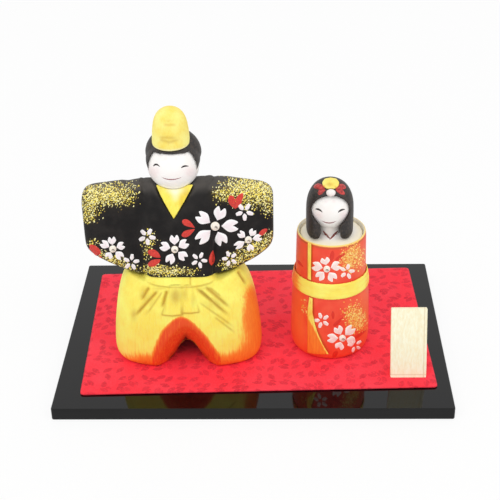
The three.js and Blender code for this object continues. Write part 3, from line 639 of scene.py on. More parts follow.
lacquer = Finish("black lacquer", "0b0b0c", IOR=1.37)
facing_up = lacquer.part(lacquer.node("ShaderNodeNewGeometry", output="Normal"), "Z")
polish = lacquer.ease(facing_up, 0.9, 0.98)
haze = lacquer.noise(0.05, 4)
lacquer.set(
    Base_Color=lacquer.mix(polish, "040404", "060607"),
    Roughness=0.42 - polish * 0.38 + haze * 0.03,
)
lacquer.relief(lacquer.noise(0.4, 2) * polish, 0.004)
coated("base_board", lacquer)

# %% [markdown]
# ## The mat
#
# The mat is a sheet of crepe-like cloth, cut with rounded corners and laid slightly askew. A flat slab
# would show as one, so the sheet is a fine grid with a faint waviness and its own thickness. Its print,
# small petals and sprigs in a darker red, comes from one cell pattern: every cell holds a motif turned its
# own way.

# %% Mat sheet
MAT = {"width": 189, "depth": 121, "x": 1.4, "y": 2.5, "turn": 1.8, "corner": 2, "step": 1.4}
MAT |= {"thick": 0.8, "sink": 0.08, "long_wave": 0.05, "short_wave": 0.03}
mat_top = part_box("red_mat")[1][2] / MM


def mat_wave(x, y):
    """How far the cloth rises or sinks at a point."""
    long_wave = MAT["long_wave"] * math.sin(x * 0.09 + 1) * math.cos(y * 0.12)
    return long_wave + MAT["short_wave"] * math.sin(x * 0.31 + y * 0.2)


def mat_sheet():
    """A grid cut to the mat's outline, waved a little, with a wall under it."""
    sheet = bmesh.new()
    across = round(MAT["width"] / MAT["step"] / detail_share)
    along = round(MAT["depth"] / MAT["step"] / detail_share)
    half_x, half_y = MAT["width"] / 2, MAT["depth"] / 2
    bmesh.ops.create_grid(sheet, x_segments=across, y_segments=along, size=1)
    turn = math.radians(MAT["turn"])
    for corner in sheet.verts:
        x, y = corner.co.x * half_x, corner.co.y * half_y
        over_x, over_y = abs(x) - half_x + MAT["corner"], abs(y) - half_y + MAT["corner"]
        if over_x > 0 and over_y > 0:
            pull = MAT["corner"] / max(math.hypot(over_x, over_y), MAT["corner"])
            x -= math.copysign(over_x * (1 - pull), x)
            y -= math.copysign(over_y * (1 - pull), y)
        spun_x = x * math.cos(turn) - y * math.sin(turn) + MAT["x"]
        spun_y = x * math.sin(turn) + y * math.cos(turn) + MAT["y"]
        corner.co = Vector((spun_x, spun_y, mat_top - MAT["sink"] + mat_wave(x, y))) * MM
    return object_from("mat_cloth", sheet)


mat = mat_sheet()
wall = mat.modifiers.new("thickness", "SOLIDIFY")
wall.thickness = MAT["thick"] * MM
wall.offset = -1
baked(mat)
print("mat", len(mat.data.polygons), "faces")

# %% Crimson crepe
crepe = Finish("crimson crepe", "f03a4c", 0.85, Specular_IOR_Level=0.2, Sheen_Weight=0.05,
               Sheen_Roughness=0.5)
CELL = 6.8


def cell(output):
    """One value of the cell that a point of the cloth lies in."""
    sockets = {"Vector": crepe.place((1, 1, 0)), "Scale": 1 / CELL, "Randomness": 0.85}
    return crepe.node("ShaderNodeTexVoronoi", {"voronoi_dimensions": "2D"}, sockets, output)


chances = [crepe.node("ShaderNodeSeparateColor", {}, {0: cell("Color")}, part) for part in range(3)]
from_middle = crepe.vector("SUBTRACT", crepe.place((1, 1, 0)), cell("Position"))
turn = crepe.node("ShaderNodeCombineXYZ", {}, {"Z": chances[0] * (2 * math.pi)})
sockets = {0: from_middle, "Rotation": turn}
turned = crepe.node("ShaderNodeVectorRotate", {"rotation_type": "EULER_XYZ"}, sockets)
print("crepe cells", CELL, "mm")


# %% Petals and sprigs of the print
LARGE_LEAF = ((0.2, 0.7), 3.3, 1.8)
SMALL_LEAF = ((-0.6, -1.8), 2.2, 1.2)
BARE_CELLS = 0.4


def leaf(finish, point, middle, length, width):
    """1 inside a leaf with two pointed ends. Its length lies along x and its middle at the given place."""
    across, up = (finish.part(point, axis) for axis in "XY")
    across = (across - middle[0]) * (1 / length)
    up = finish.sum("ABSOLUTE", (up - middle[1]) * (1 / width))
    return 1 - finish.ease(across * across + up, 0.6, 1.15)


large = leaf(crepe, turned, *LARGE_LEAF)
small = leaf(crepe, turned, *SMALL_LEAF) * (chances[1] > BARE_CELLS)
sprigs = crepe.sum("MAXIMUM", large, small) * (chances[2] * 0.45 + 0.55)
wear_and_highlight = crepe.ease(crepe.noise(0.9, 2), 0.25, 0.5)
weave = crepe.noise(2.2, 2, (1, 0.35, 1))
crepe.set(Base_Color=crepe.layers(
    "ff2f41",
    (crepe.ease(crepe.noise(0.05, 2), 0.35, 0.7), "ff3b4d"),
    (sprigs * wear_and_highlight * 0.72, "c4162e"),
    (crepe.ease(weave, 0.3, 0.8) * 0.15, "ff7482"),
))
crepe.relief(weave + crepe.noise(0.5, 2) * 0.6, 0.12, 0.7)

finished(mat, crepe, "root", "red_crepe", "red_mat")

# %% [markdown]
# ## The tag
#
# Makers' tags are thin planed boards of a pale softwood. This one leans back on a wedge of the same wood
# and stands by itself. The grain runs upwards and the face is left bare, with one thin line along two of
# its edges. The CAD solid has the tag's shape and its eased edges, so only the wood is made.

# %% Pale wood
pale_wood = Finish("pale planed wood", "f4e6bf", 0.55)
grain = pale_wood.noise(1.1, 4, (1, 1, 0.05))
rings = pale_wood.noise(0.45, 2, (1, 0.6, 0.02))
pores = pale_wood.ease(pale_wood.noise(4, 2, (1, 1, 0.06)), 0.58, 0.75)
print("grain, rings and pores", len(pale_wood.tree.nodes), "nodes")

# %% Lines along two edges of the tag
tag_low, tag_high = (np.array(corner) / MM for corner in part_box("wooden_tag"))
LINE_INSET = 1.5
parts = [pale_wood.part(pale_wood.place(), axis) for axis in "XZ"]
line_places = (tag_high[0] - LINE_INSET, tag_low[2] + LINE_INSET)
lines = [pale_wood.sum("ABSOLUTE", part - place) for part, place in zip(parts, line_places)]
border = 1 - pale_wood.ease(pale_wood.sum("MINIMUM", *lines), 0.1, 0.45)
pale_wood.set(Roughness=0.5 + grain * 0.2, Base_Color=pale_wood.layers(
    "fffde2",
    (pale_wood.ease(grain, 0.3, 0.7), "fbf2cc"),
    (pale_wood.ease(rings, 0.5, 0.72) * 0.2, "ecd9a6"),
    (pores * 0.12, "cdae74"),
    (border * 0.3, "b98f4c"),
))
pale_wood.relief(grain + pores * 0.5, 0.05, 0.6)
coated("wooden_tag", pale_wood)

# %% [markdown]
# ## The lord's trouser skirt
#
# The skirt is the widest piece of clay. Its front arch funnels back to a small dark opening, and pleats fan
# out under the sash where a tool was pressed into the wet clay. The pleats are pressed again here, softer
# than any cut: each is a line in the picture, and the clay sinks in along it as a bell-shaped groove that is
# also darkened with painted shade. The belt and its two hanging ends are flat panels, drawn as corners in the
# picture and raised out of the same clay, with painted shade in the crease round them. A few soft patches of
# painted shade darken the folds.

# %% Pressed lines and raised panels
# Where the middle of each doll stands on the mat, in millimetres.
LORD = np.array([-35.8, -18.4, 8.2])
LADY = np.array([42.3, -9.9, 8.2])
PANEL_EDGE = 0.8


def near_line(across, down, line):
    """How far pixels lie from a line, and how far along it. line is x, y at its start and its end."""
    start, way = np.array(line[:2]), np.array(line[2:]) - line[:2]
    away = np.stack([across, down], -1) - start
    share = np.clip(away @ way / (way @ way), 0, 1)
    return np.linalg.norm(away - share[:, None] * way, axis=1), share


def press(piece, lines, width, depth, fade=0.3):
    """Presses lines into the clay that the camera sees, and returns how deep each point sank, as a mask for
    painted shade in the groove. width is in pixels, depth in millimetres.
    """
    points = points_of(piece)
    across, down = pixels_of(points)
    sunk = np.zeros(len(points))
    for line in lines:
        away, share = near_line(across, down, line)
        ends = step_up(share, -0.01, fade * 0.5) * (1 - step_up(share, 1 - fade, 1.01))
        sunk = np.maximum(sunk, np.exp(-((away / width) ** 2)) * ends)
    sunk *= facing_camera(piece)
    move_points(piece, points - normals_of(piece) * sunk[:, None] * depth)
    return sunk


def panel_depth(across, down, corners):
    """How many pixels a point lies inside a many-sided panel, and below 0 how far outside."""
    edges = list(zip(corners, corners[1:] + corners[:1]))
    away = np.min([near_line(across, down, (*start, *end))[0] for start, end in edges], axis=0)
    inside = np.zeros(len(across), dtype=bool)
    for (start_x, start_y), (end_x, end_y) in edges:
        slope = (end_x - start_x) / ((end_y - start_y) or 1)
        inside ^= ((start_y > down) != (end_y > down)) & (across < start_x + (down - start_y) * slope)
    return np.where(inside, away, -away)


def raise_panel(piece, corners, height):
    """Lifts a panel out of the clay that the camera sees and returns where painted shade goes in the crease
    round it.
    """
    points = points_of(piece)
    depth = panel_depth(*pixels_of(points), corners)
    seen = facing_camera(piece)
    lift = step_up(depth, -PANEL_EDGE, PANEL_EDGE) * seen
    move_points(piece, points + normals_of(piece) * lift[:, None] * height)
    return np.exp(-(((depth + PANEL_EDGE) / PANEL_EDGE) ** 2)) * seen


print("the lord stands at", LORD.tolist(), "and the lady at", LADY.tolist())

# %% Pleats of the skirt
skirt = clay("emperor_hakama", voxel=0.57, rounds=58, keep=0.25, reach=2.2)
BROAD_PLEATS = [
    (149, 287, 140, 302),
    (158.5, 290, 131.5, 320),
    (167, 290, 161.5, 310),
    (195, 287.5, 231, 318),
    (204, 286, 232, 310),
    (238, 270, 247.5, 285),
]
FINE_PLEATS = [
    (163, 291, 145, 317),
    (198, 302, 236, 329),
    (214, 317, 236, 334),
    (209, 287.5, 222, 298),
    (200, 290, 213, 302),
]
# Each pleat's groove also gets painted shade, by how deep the clay sank there.
crease_shade = 0.9 * press(skirt, BROAD_PLEATS, width=1.6, depth=1.3)
crease_shade = np.maximum(crease_shade, 0.55 * press(skirt, FINE_PLEATS, width=1.1, depth=0.5))
print("pleats", len(BROAD_PLEATS) + len(FINE_PLEATS))

# %% Belt and its ends
BELT = [(144, 274), (217, 271), (216, 279.5), (210, 282.8), (201, 285.2), (191, 286.5), (180, 287),
        (168, 286.6), (158, 285.4), (151, 283.4), (146, 280.6)]
BELT_END_LEFT = [(170.8, 286), (181.6, 286), (182, 314.2), (172.5, 315.2), (162.8, 314.2)]
BELT_END_RIGHT = [(182.2, 286), (190.8, 286), (198.4, 311.6), (190.5, 312.6), (182.6, 312.4)]
PANELS = [(BELT_END_RIGHT, 0.8, 0.2), (BELT_END_LEFT, 1.1, 0.2), (BELT, 1.2, 0.5)]
BELT_TIPS, BELT_LEFT, BELT_RIGHT = (304, 312), (146, 156), (206, 216)
BELT_FOLD = [(190.4, 276, 190.2, 286.5)]
# Soft patches of painted shade in the folds: middle pixel, two radii and strength.
SHADED_FOLDS = [
    (144, 295, 4, 8, 0.45), (134, 315, 3, 6, 0.45), (175.5, 296, 5.5, 7.5, 0.7), (185, 294, 3, 7, 0.4),
    (215, 303, 10, 6, 0.35), (164, 303, 2.2, 8, 0.4), (151, 300, 3, 6, 0.3), (193, 300, 2, 8, 0.3),
    (160, 288.5, 7, 1.2, 0.35), (206, 288.5, 6, 1.2, 0.3),
]
# Painted shade in the crease round each panel, darker low on the hanging ends.
for panel, height, line_share in PANELS:
    crease = raise_panel(skirt, panel, height)
    across, down = picture_of(skirt)
    crease *= line_share + 0.45 * step_up(down, *BELT_TIPS)
    crease *= step_up(across, *BELT_LEFT) * (1 - step_up(across, *BELT_RIGHT))
    crease_shade = np.maximum(crease_shade, crease)
crease_shade = np.maximum(crease_shade, 0.5 * press(skirt, BELT_FOLD, width=0.8, depth=0.5, fade=0.1))
across, down = picture_of(skirt)
shaded = puffs_at(across, down, SHADED_FOLDS) * facing_camera(skirt)
paint_mask(skirt, "crease_shade", np.maximum(crease_shade, shaded))
print("belt panels", len(PANELS))

# %% [markdown]
# ## Brushed gold-yellow paint
#
# The yellow is a dry-brushed pearl paint. Towards the bottom, the right side and inside the arch it turns
# orange and then red. The masks for that are kept on the clay's own points. The finish breaks their edges
# with streaks of noise stretched upright, as bristles leave them. Painted shade darkens the creases, and
# near-black painted shade lies in the small opening and on the hollow's walls. Where a piece asks for it, a
# pale painted highlight lies on the gold as well.

# %% Gold paint
def gold_paint(name, streak_stretch=(1, 1, 0.07), pale="fff872", deep="ffea5e"):
    """Dry-brushed gold that pales under a painted highlight, browns with painted shade in creases, reddens
    where it is warm and turns near black with painted shade in a hollow.
    """
    finish = Finish(name, "f7d54e", 0.5, Specular_IOR_Level=0.3)
    streaks = finish.noise(1.1, 3, streak_stretch)
    fine = finish.noise(3.6, 2, streak_stretch)
    frayed = finish.attribute("warmth") + (streaks - 0.5) * 0.55 + (fine - 0.5) * 0.42
    finish.set(Roughness=0.42 + streaks * 0.25, Base_Color=finish.layers(
        deep,
        (finish.ease(finish.noise(0.1, 3), 0.35, 0.65), pale),
        (finish.ease(fine, 0.45, 0.8) * 0.3, "fff8ae"),
        (finish.ease(streaks, 0.5, 0.7) * 0.18, "f4c03c"),
        # Painted shade in the creases.
        (finish.attribute("crease_shade") * 0.78, "b4761c"),
        # Paler gold: a painted highlight on the hat's brim, and the collar's pale patch under the neck.
        (finish.attribute("wear_and_highlight"), "fffcd4"),
        (finish.ease(frayed, 0.15, 0.6), "fd8f30"),
        (finish.ease(frayed, 0.55, 1.05), "ee4a20"),
        # Near-black painted shade in the skirt's opening and on the hollow's walls.
        (finish.attribute("hollow"), "1c0805"),
    ))
    finish.relief(streaks * 0.5 + fine * 0.5, 0.06, 0.6)
    return finish


def shelf(down, rows):
    """Reads an outline at each pixel row. rows are pixels down and pixels across."""
    downs, acrosses = zip(*rows)
    return np.interp(down, downs, acrosses)


gold = gold_paint("brushed gold paint")
print("gold paint", len(gold.tree.nodes), "nodes")

# %% Where the skirt turns orange
RIGHT_GLOW = [(274, 255), (280, 248), (285, 244), (296, 242), (310, 241), (323, 240), (334, 240), (342, 239),
              (349, 234), (356, 222), (364, 207)]
ARCH_LEFT = [(315, 181), (318, 176), (323, 169.5), (331, 162), (340, 157.5), (352, 153), (362, 150)]
ARCH_RIGHT = [(315, 181), (319, 188), (324, 194.5), (336, 206), (347, 214), (359, 223)]
EDGE_WIDENS, RIGHT_TOP, LOW_TOP, ARCH_TOP = (318, 340), (272, 296), (345, 365), (313.5, 320)
LEFT_KNEE = (128, 150)
ARCH_EDGE = (-3.5, 3.5)
BESIDE = {"out": (26, 38), "top": 46, "fade": 16, "foot": (2, 9)}
x, y, z = (points_of(skirt) - LORD).T
edge_width = 9 + 6 * step_up(down, *EDGE_WIDENS)
glow_right = step_up((across - shelf(down, RIGHT_GLOW)) / edge_width, -0.7, 1)
glow_right *= step_up(down, *RIGHT_TOP) * 0.66
glow_low = step_up(down, *LOW_TOP) * (0.62 + 0.2 * step_up(across, *LEFT_KNEE))
glow_arch = step_up(across - shelf(down, ARCH_LEFT), *ARCH_EDGE)
glow_arch *= step_up(shelf(down, ARCH_RIGHT) - across, *ARCH_EDGE) * step_up(down, *ARCH_TOP) * 0.95
seen = facing_camera(skirt)
glow_beside = step_up(x, *BESIDE["out"]) * step_up(BESIDE["top"] - z, 0, BESIDE["fade"]) * 0.8
glow_beside = np.maximum(glow_beside, 1 - step_up(z, *BESIDE["foot"]))
front = np.maximum.reduce([glow_right, glow_low, glow_arch])
paint_mask(skirt, "warmth", seen * front + (1 - seen) * glow_beside)
print("warm share of the skirt", round(float(front.mean()), 2))

# %% Painted shade in the skirt's opening
OPENING = [(170, 358), (175.9, 351.8), (179.8, 345.2), (185.8, 336), (193.1, 346.5), (199.8, 353.1),
           (206, 358)]
HOLLOW_FRONT = -6
HOLLOW_FOOT, HOLLOW_ROOF = (1, 5), (34, 38)
# Painted shade: near black inside the opening's outline, softer round it, and on the walls of the hollow.
into_opening = panel_depth(across, down, OPENING)
shade = step_up(into_opening, -5, 0.5) * 0.45 + step_up(into_opening, -0.8, 0.8) * 0.5
towards_middle = -(normals_of(skirt)[:, :2] * np.stack([x, y], -1)).sum(axis=1)
inner_wall = step_up(y, HOLLOW_FRONT, HOLLOW_FRONT + 1) * step_up(towards_middle, 0, 3)
inner_wall *= step_up(z, *HOLLOW_FOOT) * (1 - step_up(z, *HOLLOW_ROOF))
paint_mask(skirt, "hollow", np.maximum(shade * seen, inner_wall))
finished(skirt, gold, "emperor", "gold_painted_clay", "emperor_hakama", "emperor_sash",
         "emperor_sash_end_left", "emperor_sash_end_right")

# %% [markdown]
# ## The lord's robe
#
# Torso and sleeves look like one robe from the front: the joint shows only low down, as a short groove on
# each side. So the three solids are grown by a hair until they meet, melted into one skin, and the two
# grooves are pressed back into it. The line of the shoulders is drawn up or down by a millimetre or two, and
# their upward-facing tops are painted a lighter grey as a highlight. Gold dust lies over the shoulders and
# hems. A haze of it tints the paint, and the grains come after.

# %% Robe
robe = clay("emperor_robe", "emperor_sleeve_left", "emperor_sleeve_right",
            voxel=0.55, rounds=60, grow=0.2, keep=0.3, reach=3)
ROBE_SEAMS = [(144.5, 252, 146, 279), (215.5, 238, 214, 279)]
press(robe, ROBE_SEAMS, width=1.1, depth=1.0, fade=0.2)
SHOULDER_LIFT = [
    (122, 0), (128, -0.8), (135, -0.5), (140, -0.4), (143, -2), (150, -2.3), (160, -1.2), (188, -1),
    (197, -1.8), (205, -1.7), (211, -0.6), (218, 0.8), (228, 1.2), (245, 1), (262, 0.7), (270, 0),
]
LIFTED, TOP_HIGHLIGHT = (-16, -5), (-9, -4)
points = points_of(robe)
below_top = points[:, 2] - points[:, 2].max()
lift = np.interp(picture_of(robe)[0], *zip(*SHOULDER_LIFT))
points[:, 2] += lift * step_up(below_top, *LIFTED)
move_points(robe, points)
below_top = points[:, 2] - points[:, 2].max()
# Painted highlight: a lighter grey on the upward-facing tops of the shoulders.
paint_mask(robe, "wear_and_highlight", step_up(normals_of(robe)[:, 2], 0.45, 0.9) * step_up(below_top, *TOP_HIGHLIGHT))
print("shoulders lifted by", round(float(lift.min()), 1), "to", round(float(lift.max()), 1), "mm")

# %% Gold haze on the robe
LORD_DUST = [
    (90, 197, 10, 11, 1.0), (104, 193, 14, 11, 0.85), (118, 194, 13, 10, 0.65), (128, 200, 8, 7, 0.35),
    (89, 211, 9, 9, 0.55), (88, 219, 6, 5, 0.45), (130, 187, 9, 7, 0.25),
    (260, 187, 14, 11, 1.1), (242, 188, 16, 11, 0.95), (222, 194, 9, 7, 0.8), (266, 199, 8, 9, 0.6),
    (251, 202, 14, 7, 0.45), (268, 208, 6, 7, 0.3),
    (93, 243, 7, 4, 0.4), (103, 256, 8, 5, 0.5), (113, 262, 10, 5, 0.9), (124, 268, 9, 4.5, 0.7),
    (134, 272, 8, 3.5, 0.4), (149, 240, 7, 7, 0.4), (147, 252, 4, 9, 0.4),
    (152, 269, 9, 4.5, 1.0), (169, 271, 14, 4.5, 1.0), (189, 272, 9, 3.5, 0.5),
    (268, 239, 6, 7, 0.9), (258, 248, 10, 6, 1.0), (245, 256, 12, 5.5, 0.8), (233, 263, 10, 5, 0.55),
    (225, 266, 6, 4, 0.3),
]
puff_mask(robe, "dust", LORD_DUST)
print("clouds of dust on the lord", len(LORD_DUST))

# %% Matt black paint
black = Finish("matt black paint", "2a2728", 0.78, Specular_IOR_Level=0.3, Sheen_Weight=0.1,
               Sheen_Roughness=0.4)
mottle = black.noise(0.16, 4)
tooth = black.noise(3.5, 3)
black.set(Roughness=0.66 + tooth * 0.2, Base_Color=black.layers(
    "121010",
    (black.ease(mottle, 0.35, 0.75) * 0.55, "2c2826"),
    (black.attribute("dust") * black.ease(tooth, 0.4, 0.62) * 0.4, "a8923a"),
    # Painted highlight on the tops of the shoulders.
    (black.attribute("wear_and_highlight") * 0.5, "67625d"),
))
black.relief(tooth * 0.7 + mottle, 0.09, 0.6)
finished(robe, black, "emperor", "black_painted_clay", "emperor_robe", "emperor_sleeve_left",
         "emperor_sleeve_right")

# %% [markdown]
# ## Blossoms, leaves and gold dust of the lord
#
# The cherry blossoms come in three kinds: heart-shaped petals well apart round a pearl-like dot, smaller
# ones close round a dot, and tiny oval petals without one. Between them lie red leaves. All are raised
# paint, so each petal is a thin crowned form, pinkish inside and white at its edge.

# %% Blossom paint
def wavering(name, colour, roughness, grain, first, second, span=None, **constants):
    """Paint that wavers between two tones. grain is its noise's scale and detail, span where it changes."""
    finish = Finish(name, colour, roughness, **constants)
    share = finish.noise(*grain)
    share = finish.ease(share, *span) if span else share
    finish.set(Base_Color=finish.mix(share, first, second))
    return finish


def blossom_paint(name, edge, heart):
    """Raised paint, one colour along a petal's edge and another inside it."""
    finish = Finish(name, edge, 0.45)
    milk = finish.noise(1.3, 3)
    inner = finish.ease(finish.attribute("inside"), 0.3, 1.0) * (0.1 + milk * 0.9)
    finish.set(Base_Color=finish.mix(inner, edge, heart), Roughness=0.4 + milk * 0.2)
    finish.relief(milk, 0.05, 0.6)
    return finish


cool_petal = blossom_paint("blossom white", "fffcfc", "f6e4ea")
warm_petal = blossom_paint("blossom cream", "fff8f0", "fcd0cc")

leaf_paint = wavering("leaf red", "d83427", 0.4, (1.1, 3), "e23a2c", "bf2a20", span=(0.3, 0.75))
leaf_paint.relief(leaf_paint.noise(1.1, 3), 0.05, 0.6)
print("petal and leaf paint", [paint.material.name for paint in (cool_petal, warm_petal, leaf_paint)])


# %% Gold dust
def dust(name, dark, middle, light):
    """Grains in three tones. The dark ones lie deeper in the wet paint."""
    finish = Finish(name, middle, 0.4)
    tone = finish.attribute("tone")
    coats = ((finish.ease(tone, 0.08, 0.3), middle), (finish.ease(tone, 0.45, 0.8), light))
    finish.set(Base_Color=finish.layers(dark, *coats))
    return finish


lemon_dust = dust("lemon gold dust", "8a7022", "ffe85c", "fff8b4")
orange_dust = dust("orange gold dust", "e98a34", "fbbf4c", "ffe486")
print("dust in three tones", lemon_dust.material.name, "and", orange_dust.material.name)


# %% Petals of a blossom
PETAL_THICK, STAR_THICK, DOT_THICK = 0.3, 0.22, 0.9
STAR_TURN = 72
STAR_START = 1.8


def blossom_rows(centre, tips, width, start):
    """Base, tip, width and thickness of every petal. start is how far the bases lie from the centre."""
    rows = []
    for tip in tips:
        share = start / math.dist(tip, centre)
        base = [centre[axis] + (tip[axis] - centre[axis]) * share for axis in (0, 1)]
        rows.append((base, tip, width, PETAL_THICK))
    return rows


def star_rows(centre, first_angle, reach, width):
    """Five oval petals, evenly spread from the first one's angle in degrees."""
    turns = [math.radians(first_angle + STAR_TURN * step) for step in range(5)]
    rays = [(math.cos(turn), -math.sin(turn)) for turn in turns]
    outs = (STAR_START, reach)
    ends = [[[centre[axis] + ray[axis] * out for axis in (0, 1)] for out in outs] for ray in rays]
    return [(*pair, width, STAR_THICK) for pair in ends]


# %% Dots in the blossoms
dot_paint = Finish("pearly dot", "fbeeda", 0.3, Coat_Weight=0.3)
dot_paint.set(Base_Color=dot_paint.layers(
    "fffaf0",
    (dot_paint.ease(dot_paint.noise(1.6, 2), 0.4, 0.7), "f6e6cc"),
    # Painted shade in the dot's pit.
    (dot_paint.attribute("pit"), "4c3420"),
))
print("dot paint", len(dot_paint.tree.nodes), "nodes")


def blossoms(doll, surface, paint, hearts, stars, dot_radii):
    """Throws a doll's heart-shaped petals, its small oval ones and the dots in the middle onto the robe."""
    petals = [row for flower in hearts for row in blossom_rows(*flower)]
    ovals = [row for star in stars for row in star_rows(*star)]
    dots = [((x, y), (x + radius, y), radius, DOT_THICK) for ((x, y), *_), radius in zip(hearts, dot_radii)]
    kinds = (("blossoms", petals, heart_petal, paint), ("small_blossoms", ovals, oval_petal, paint),
             ("blossom_dots", dots, bead, dot_paint))
    for kind, rows, mark, finish in kinds:
        throw_marks(doll + "_" + kind, rows, mark, surface, finish, doll, "white_painted_clay")


# %% The lord's blossoms
LORD_HEARTS = [
    ((215.2, 226.2), [(197.2, 214.2), (222, 207.2), (238.2, 225.6), (223.6, 244.6), (197.2, 241.8)], 12.6, 6),
    ((174.7, 249.4),
     [(174.2, 235), (187.8, 241.8), (186.2, 258.6), (168.4, 263.4), (160.2, 245.2)], 9.6, 4.4),
    ((112.8, 248.9),
     [(111.5, 236.8), (124.3, 244.6), (122.4, 258.4), (107.4, 258.2), (100.8, 242.4)], 8.2, 3.8),
    ((248.4, 239.8), [(238.6, 232.3), (254.2, 229.4), (262, 237), (251.2, 251.2), (234.6, 247.2)], 7.4, 4),
]
LORD_STARS = [
    ((147, 236.5), -83, 8.6, 4.2),
    ((131.2, 262.2), -62, 8.2, 3.8),
    ((199.1, 260.1), -78, 8.2, 3.6),
    ((244.5, 211.6), -88, 9, 4.2),
    ((229.8, 258.6), -106, 7.8, 3.6),
]
blossoms("emperor", robe, cool_petal, LORD_HEARTS, LORD_STARS, (4.5, 3.6, 3.6, 3.6))

# %% The lord's leaves and dust
LORD_LEAVES = [
    ((195, 228), (188, 223.5), (182, 220.8), 6.4, 0.62, 0.3),
    ((195, 229), (188, 233), (181.5, 235.8), 6.4, 0.62, 0.3),
    ((236, 209), (232.4, 202), (230.5, 195), 7.6, 0.6, 0.3),
    ((236.5, 208), (238.6, 201), (243, 192.5), 7, 0.55, 0.3),
    ((213, 250), (212, 257.5), (211.6, 265.5), 5.8, 0.62, 0.3),
    ((258.6, 236.5), (262.5, 232.5), (267.5, 229), 5, 0.55, 0.25),
    ((160.5, 257.5), (154, 253.5), (147.5, 251.5), 7.2, 0.55, 0.3),
    ((160.5, 259.5), (154, 263), (147.5, 265), 7, 0.55, 0.3),
    ((102, 258), (95.5, 254.6), (89, 247.5), 6.2, 0.5, 0.3),
    ((101, 254), (95.5, 249.4), (89, 244.6), 6, 0.5, 0.3),
]
throw_strokes("emperor_leaves", LORD_LEAVES, robe, leaf_paint, "emperor", "vermilion_painted_clay")
throw_dust("emperor_gold_dust", LORD_DUST, 0.95, robe, lemon_dust, "emperor", "gold_painted_clay")

# %% [markdown]
# ## Heads
#
# Both faces are plain smiling doll faces: two short arcs for eyes, one for the mouth, faint dabs for brows
# and a blush on each cheek. Hair is satin black paint, and the lord's tall hat is the same gold as his skirt.
# The hat's few folds are pressed in lightly and darkened with painted shade, and its brim gets a pale painted
# highlight. The tips of his hair are drawn in towards the cheeks. His collar is a thin slab in the V of the
# robe, pale where the neck meets it, with patches of painted shade.

# %% Paint of faces and hair
face_white = Finish("face white", "fbf6f1", 0.5)
chalk = face_white.noise(2.5, 3)
face_white.set(Roughness=0.45 + chalk * 0.15, Base_Color=face_white.layers(
    "fefbf8",
    (face_white.ease(face_white.noise(0.2, 2), 0.4, 0.7) * 0.5, "fbf4ee"),
    (face_white.attribute("blush"), "f4b7c0"),
    (face_white.attribute("cream"), "fff0c4"),
))
face_white.relief(chalk, 0.03, 0.5)

hair_black = Finish("satin hair black", "211e1e", 0.5)
lustre = hair_black.noise(0.8, 3)
hair_black.set(
    Base_Color=hair_black.mix(hair_black.ease(lustre, 0.35, 0.7) * 0.6, "1b1817", "4c3f37"),
    Roughness=0.42 + lustre * 0.2,
)
hair_black.relief(hair_black.noise(2.4, 3), 0.05, 0.6)
print("face", len(face_white.tree.nodes), "nodes, hair", len(hair_black.tree.nodes), "nodes")

# %% Eyes and mouth
eye_ink = wavering("eye ink", "3b2d28", 0.5, (3, 2), "181314", "332826")
lip_ink = wavering("lip ink", "b9737a", 0.5, (3, 2), "85505a", "a86a70")


def smile(doll, head, eyes, mouth):
    """Throws a doll's eyes and mouth onto its head."""
    throw_strokes(doll + "_eyes", eyes, head, eye_ink, doll, "hair_black_clay")
    throw_strokes(doll + "_mouth", mouth, head, lip_ink, doll, "vermilion_painted_clay")


# %% The lord's head
lord_head = clay("emperor_head", voxel=0.45, rounds=40, grow=0.3)
LORD_BLUSH = [(152.6, 172, 7, 5.5, 0.22), (190.8, 171.8, 6, 5.5, 0.22), (165.3, 158.8, 2.2, 1.5, 0.14),
              (176.3, 159, 2.2, 1.5, 0.14)]
puff_mask(lord_head, "blush", LORD_BLUSH)
finished(lord_head, face_white, "emperor", "white_painted_clay", "emperor_head")
LORD_EYES = [
    ((153.2, 166.5), (156.2, 164.4), (160, 167), 1.9, 0.45, 0.05),
    ((181, 168.2), (184.2, 166.2), (188.9, 166.3), 1.8, 0.5, 0.05),
]
LORD_MOUTH = [((160.8, 176.8), (171.4, 179.6), (183.2, 176.6), 1.2, 0.5, 0.04)]
smile("emperor", lord_head, LORD_EYES, LORD_MOUTH)

# %% The lord's hair
lord_hair = clay("emperor_hair", voxel=0.34, rounds=26, keep=0.35, reach=1.6)
LORD_FACE_AXIS = LORD[0] - 3.4
TIPS_IN = 2.2
TIPS_HIGH = 9
CHEEKS = (11.5, 14.5)
points = points_of(lord_hair)
low = points[:, 2].min()
tip_share = 1 - step_up(points[:, 2], low - 1, low + TIPS_HIGH)
beside = points[:, 0] - LORD_FACE_AXIS
points[:, 0] -= np.sign(beside) * tip_share * TIPS_IN * step_up(np.abs(beside), *CHEEKS)
move_points(lord_hair, points)
finished(lord_hair, hair_black, "emperor", "hair_black_clay", "emperor_hair")

# %% The lord's hat
hat_gold = gold_paint("hat gold", (1, 1, 0.4), pale="fff58e", deep="fbe266")
lord_hat = clay("emperor_hat", voxel=0.4, rounds=60, keep=0.75, reach=1.6)
HAT_FOLDS = [(157.5, 137.6, 180, 138.4), (158.5, 139.4, 173, 143.2), (166, 143.4, 180.5, 139.2),
             (162.5, 124.6, 178, 125)]
BRIM = (0.6, 1.8)
# Painted shade in the hat's folds, which are pressed in only a little.
paint_mask(lord_hat, "crease_shade", press(lord_hat, HAT_FOLDS, width=1.6, depth=0.12, fade=0.4) * 0.42)
hat_height = points_of(lord_hat)[:, 2]
# A pale painted highlight along the bottom of the brim.
paint_mask(lord_hat, "wear_and_highlight", 0.55 * (1 - step_up(hat_height - hat_height.min(), *BRIM)))
finished(lord_hat, hat_gold, "emperor", "gold_painted_clay", "emperor_hat")

# %% The lord's collar
collar = clay("emperor_collar", voxel=0.3, rounds=20, keep=0.4)
collar_gold = gold_paint("collar gold", (1, 1, 0.3), pale="fff064", deep="fde44a")
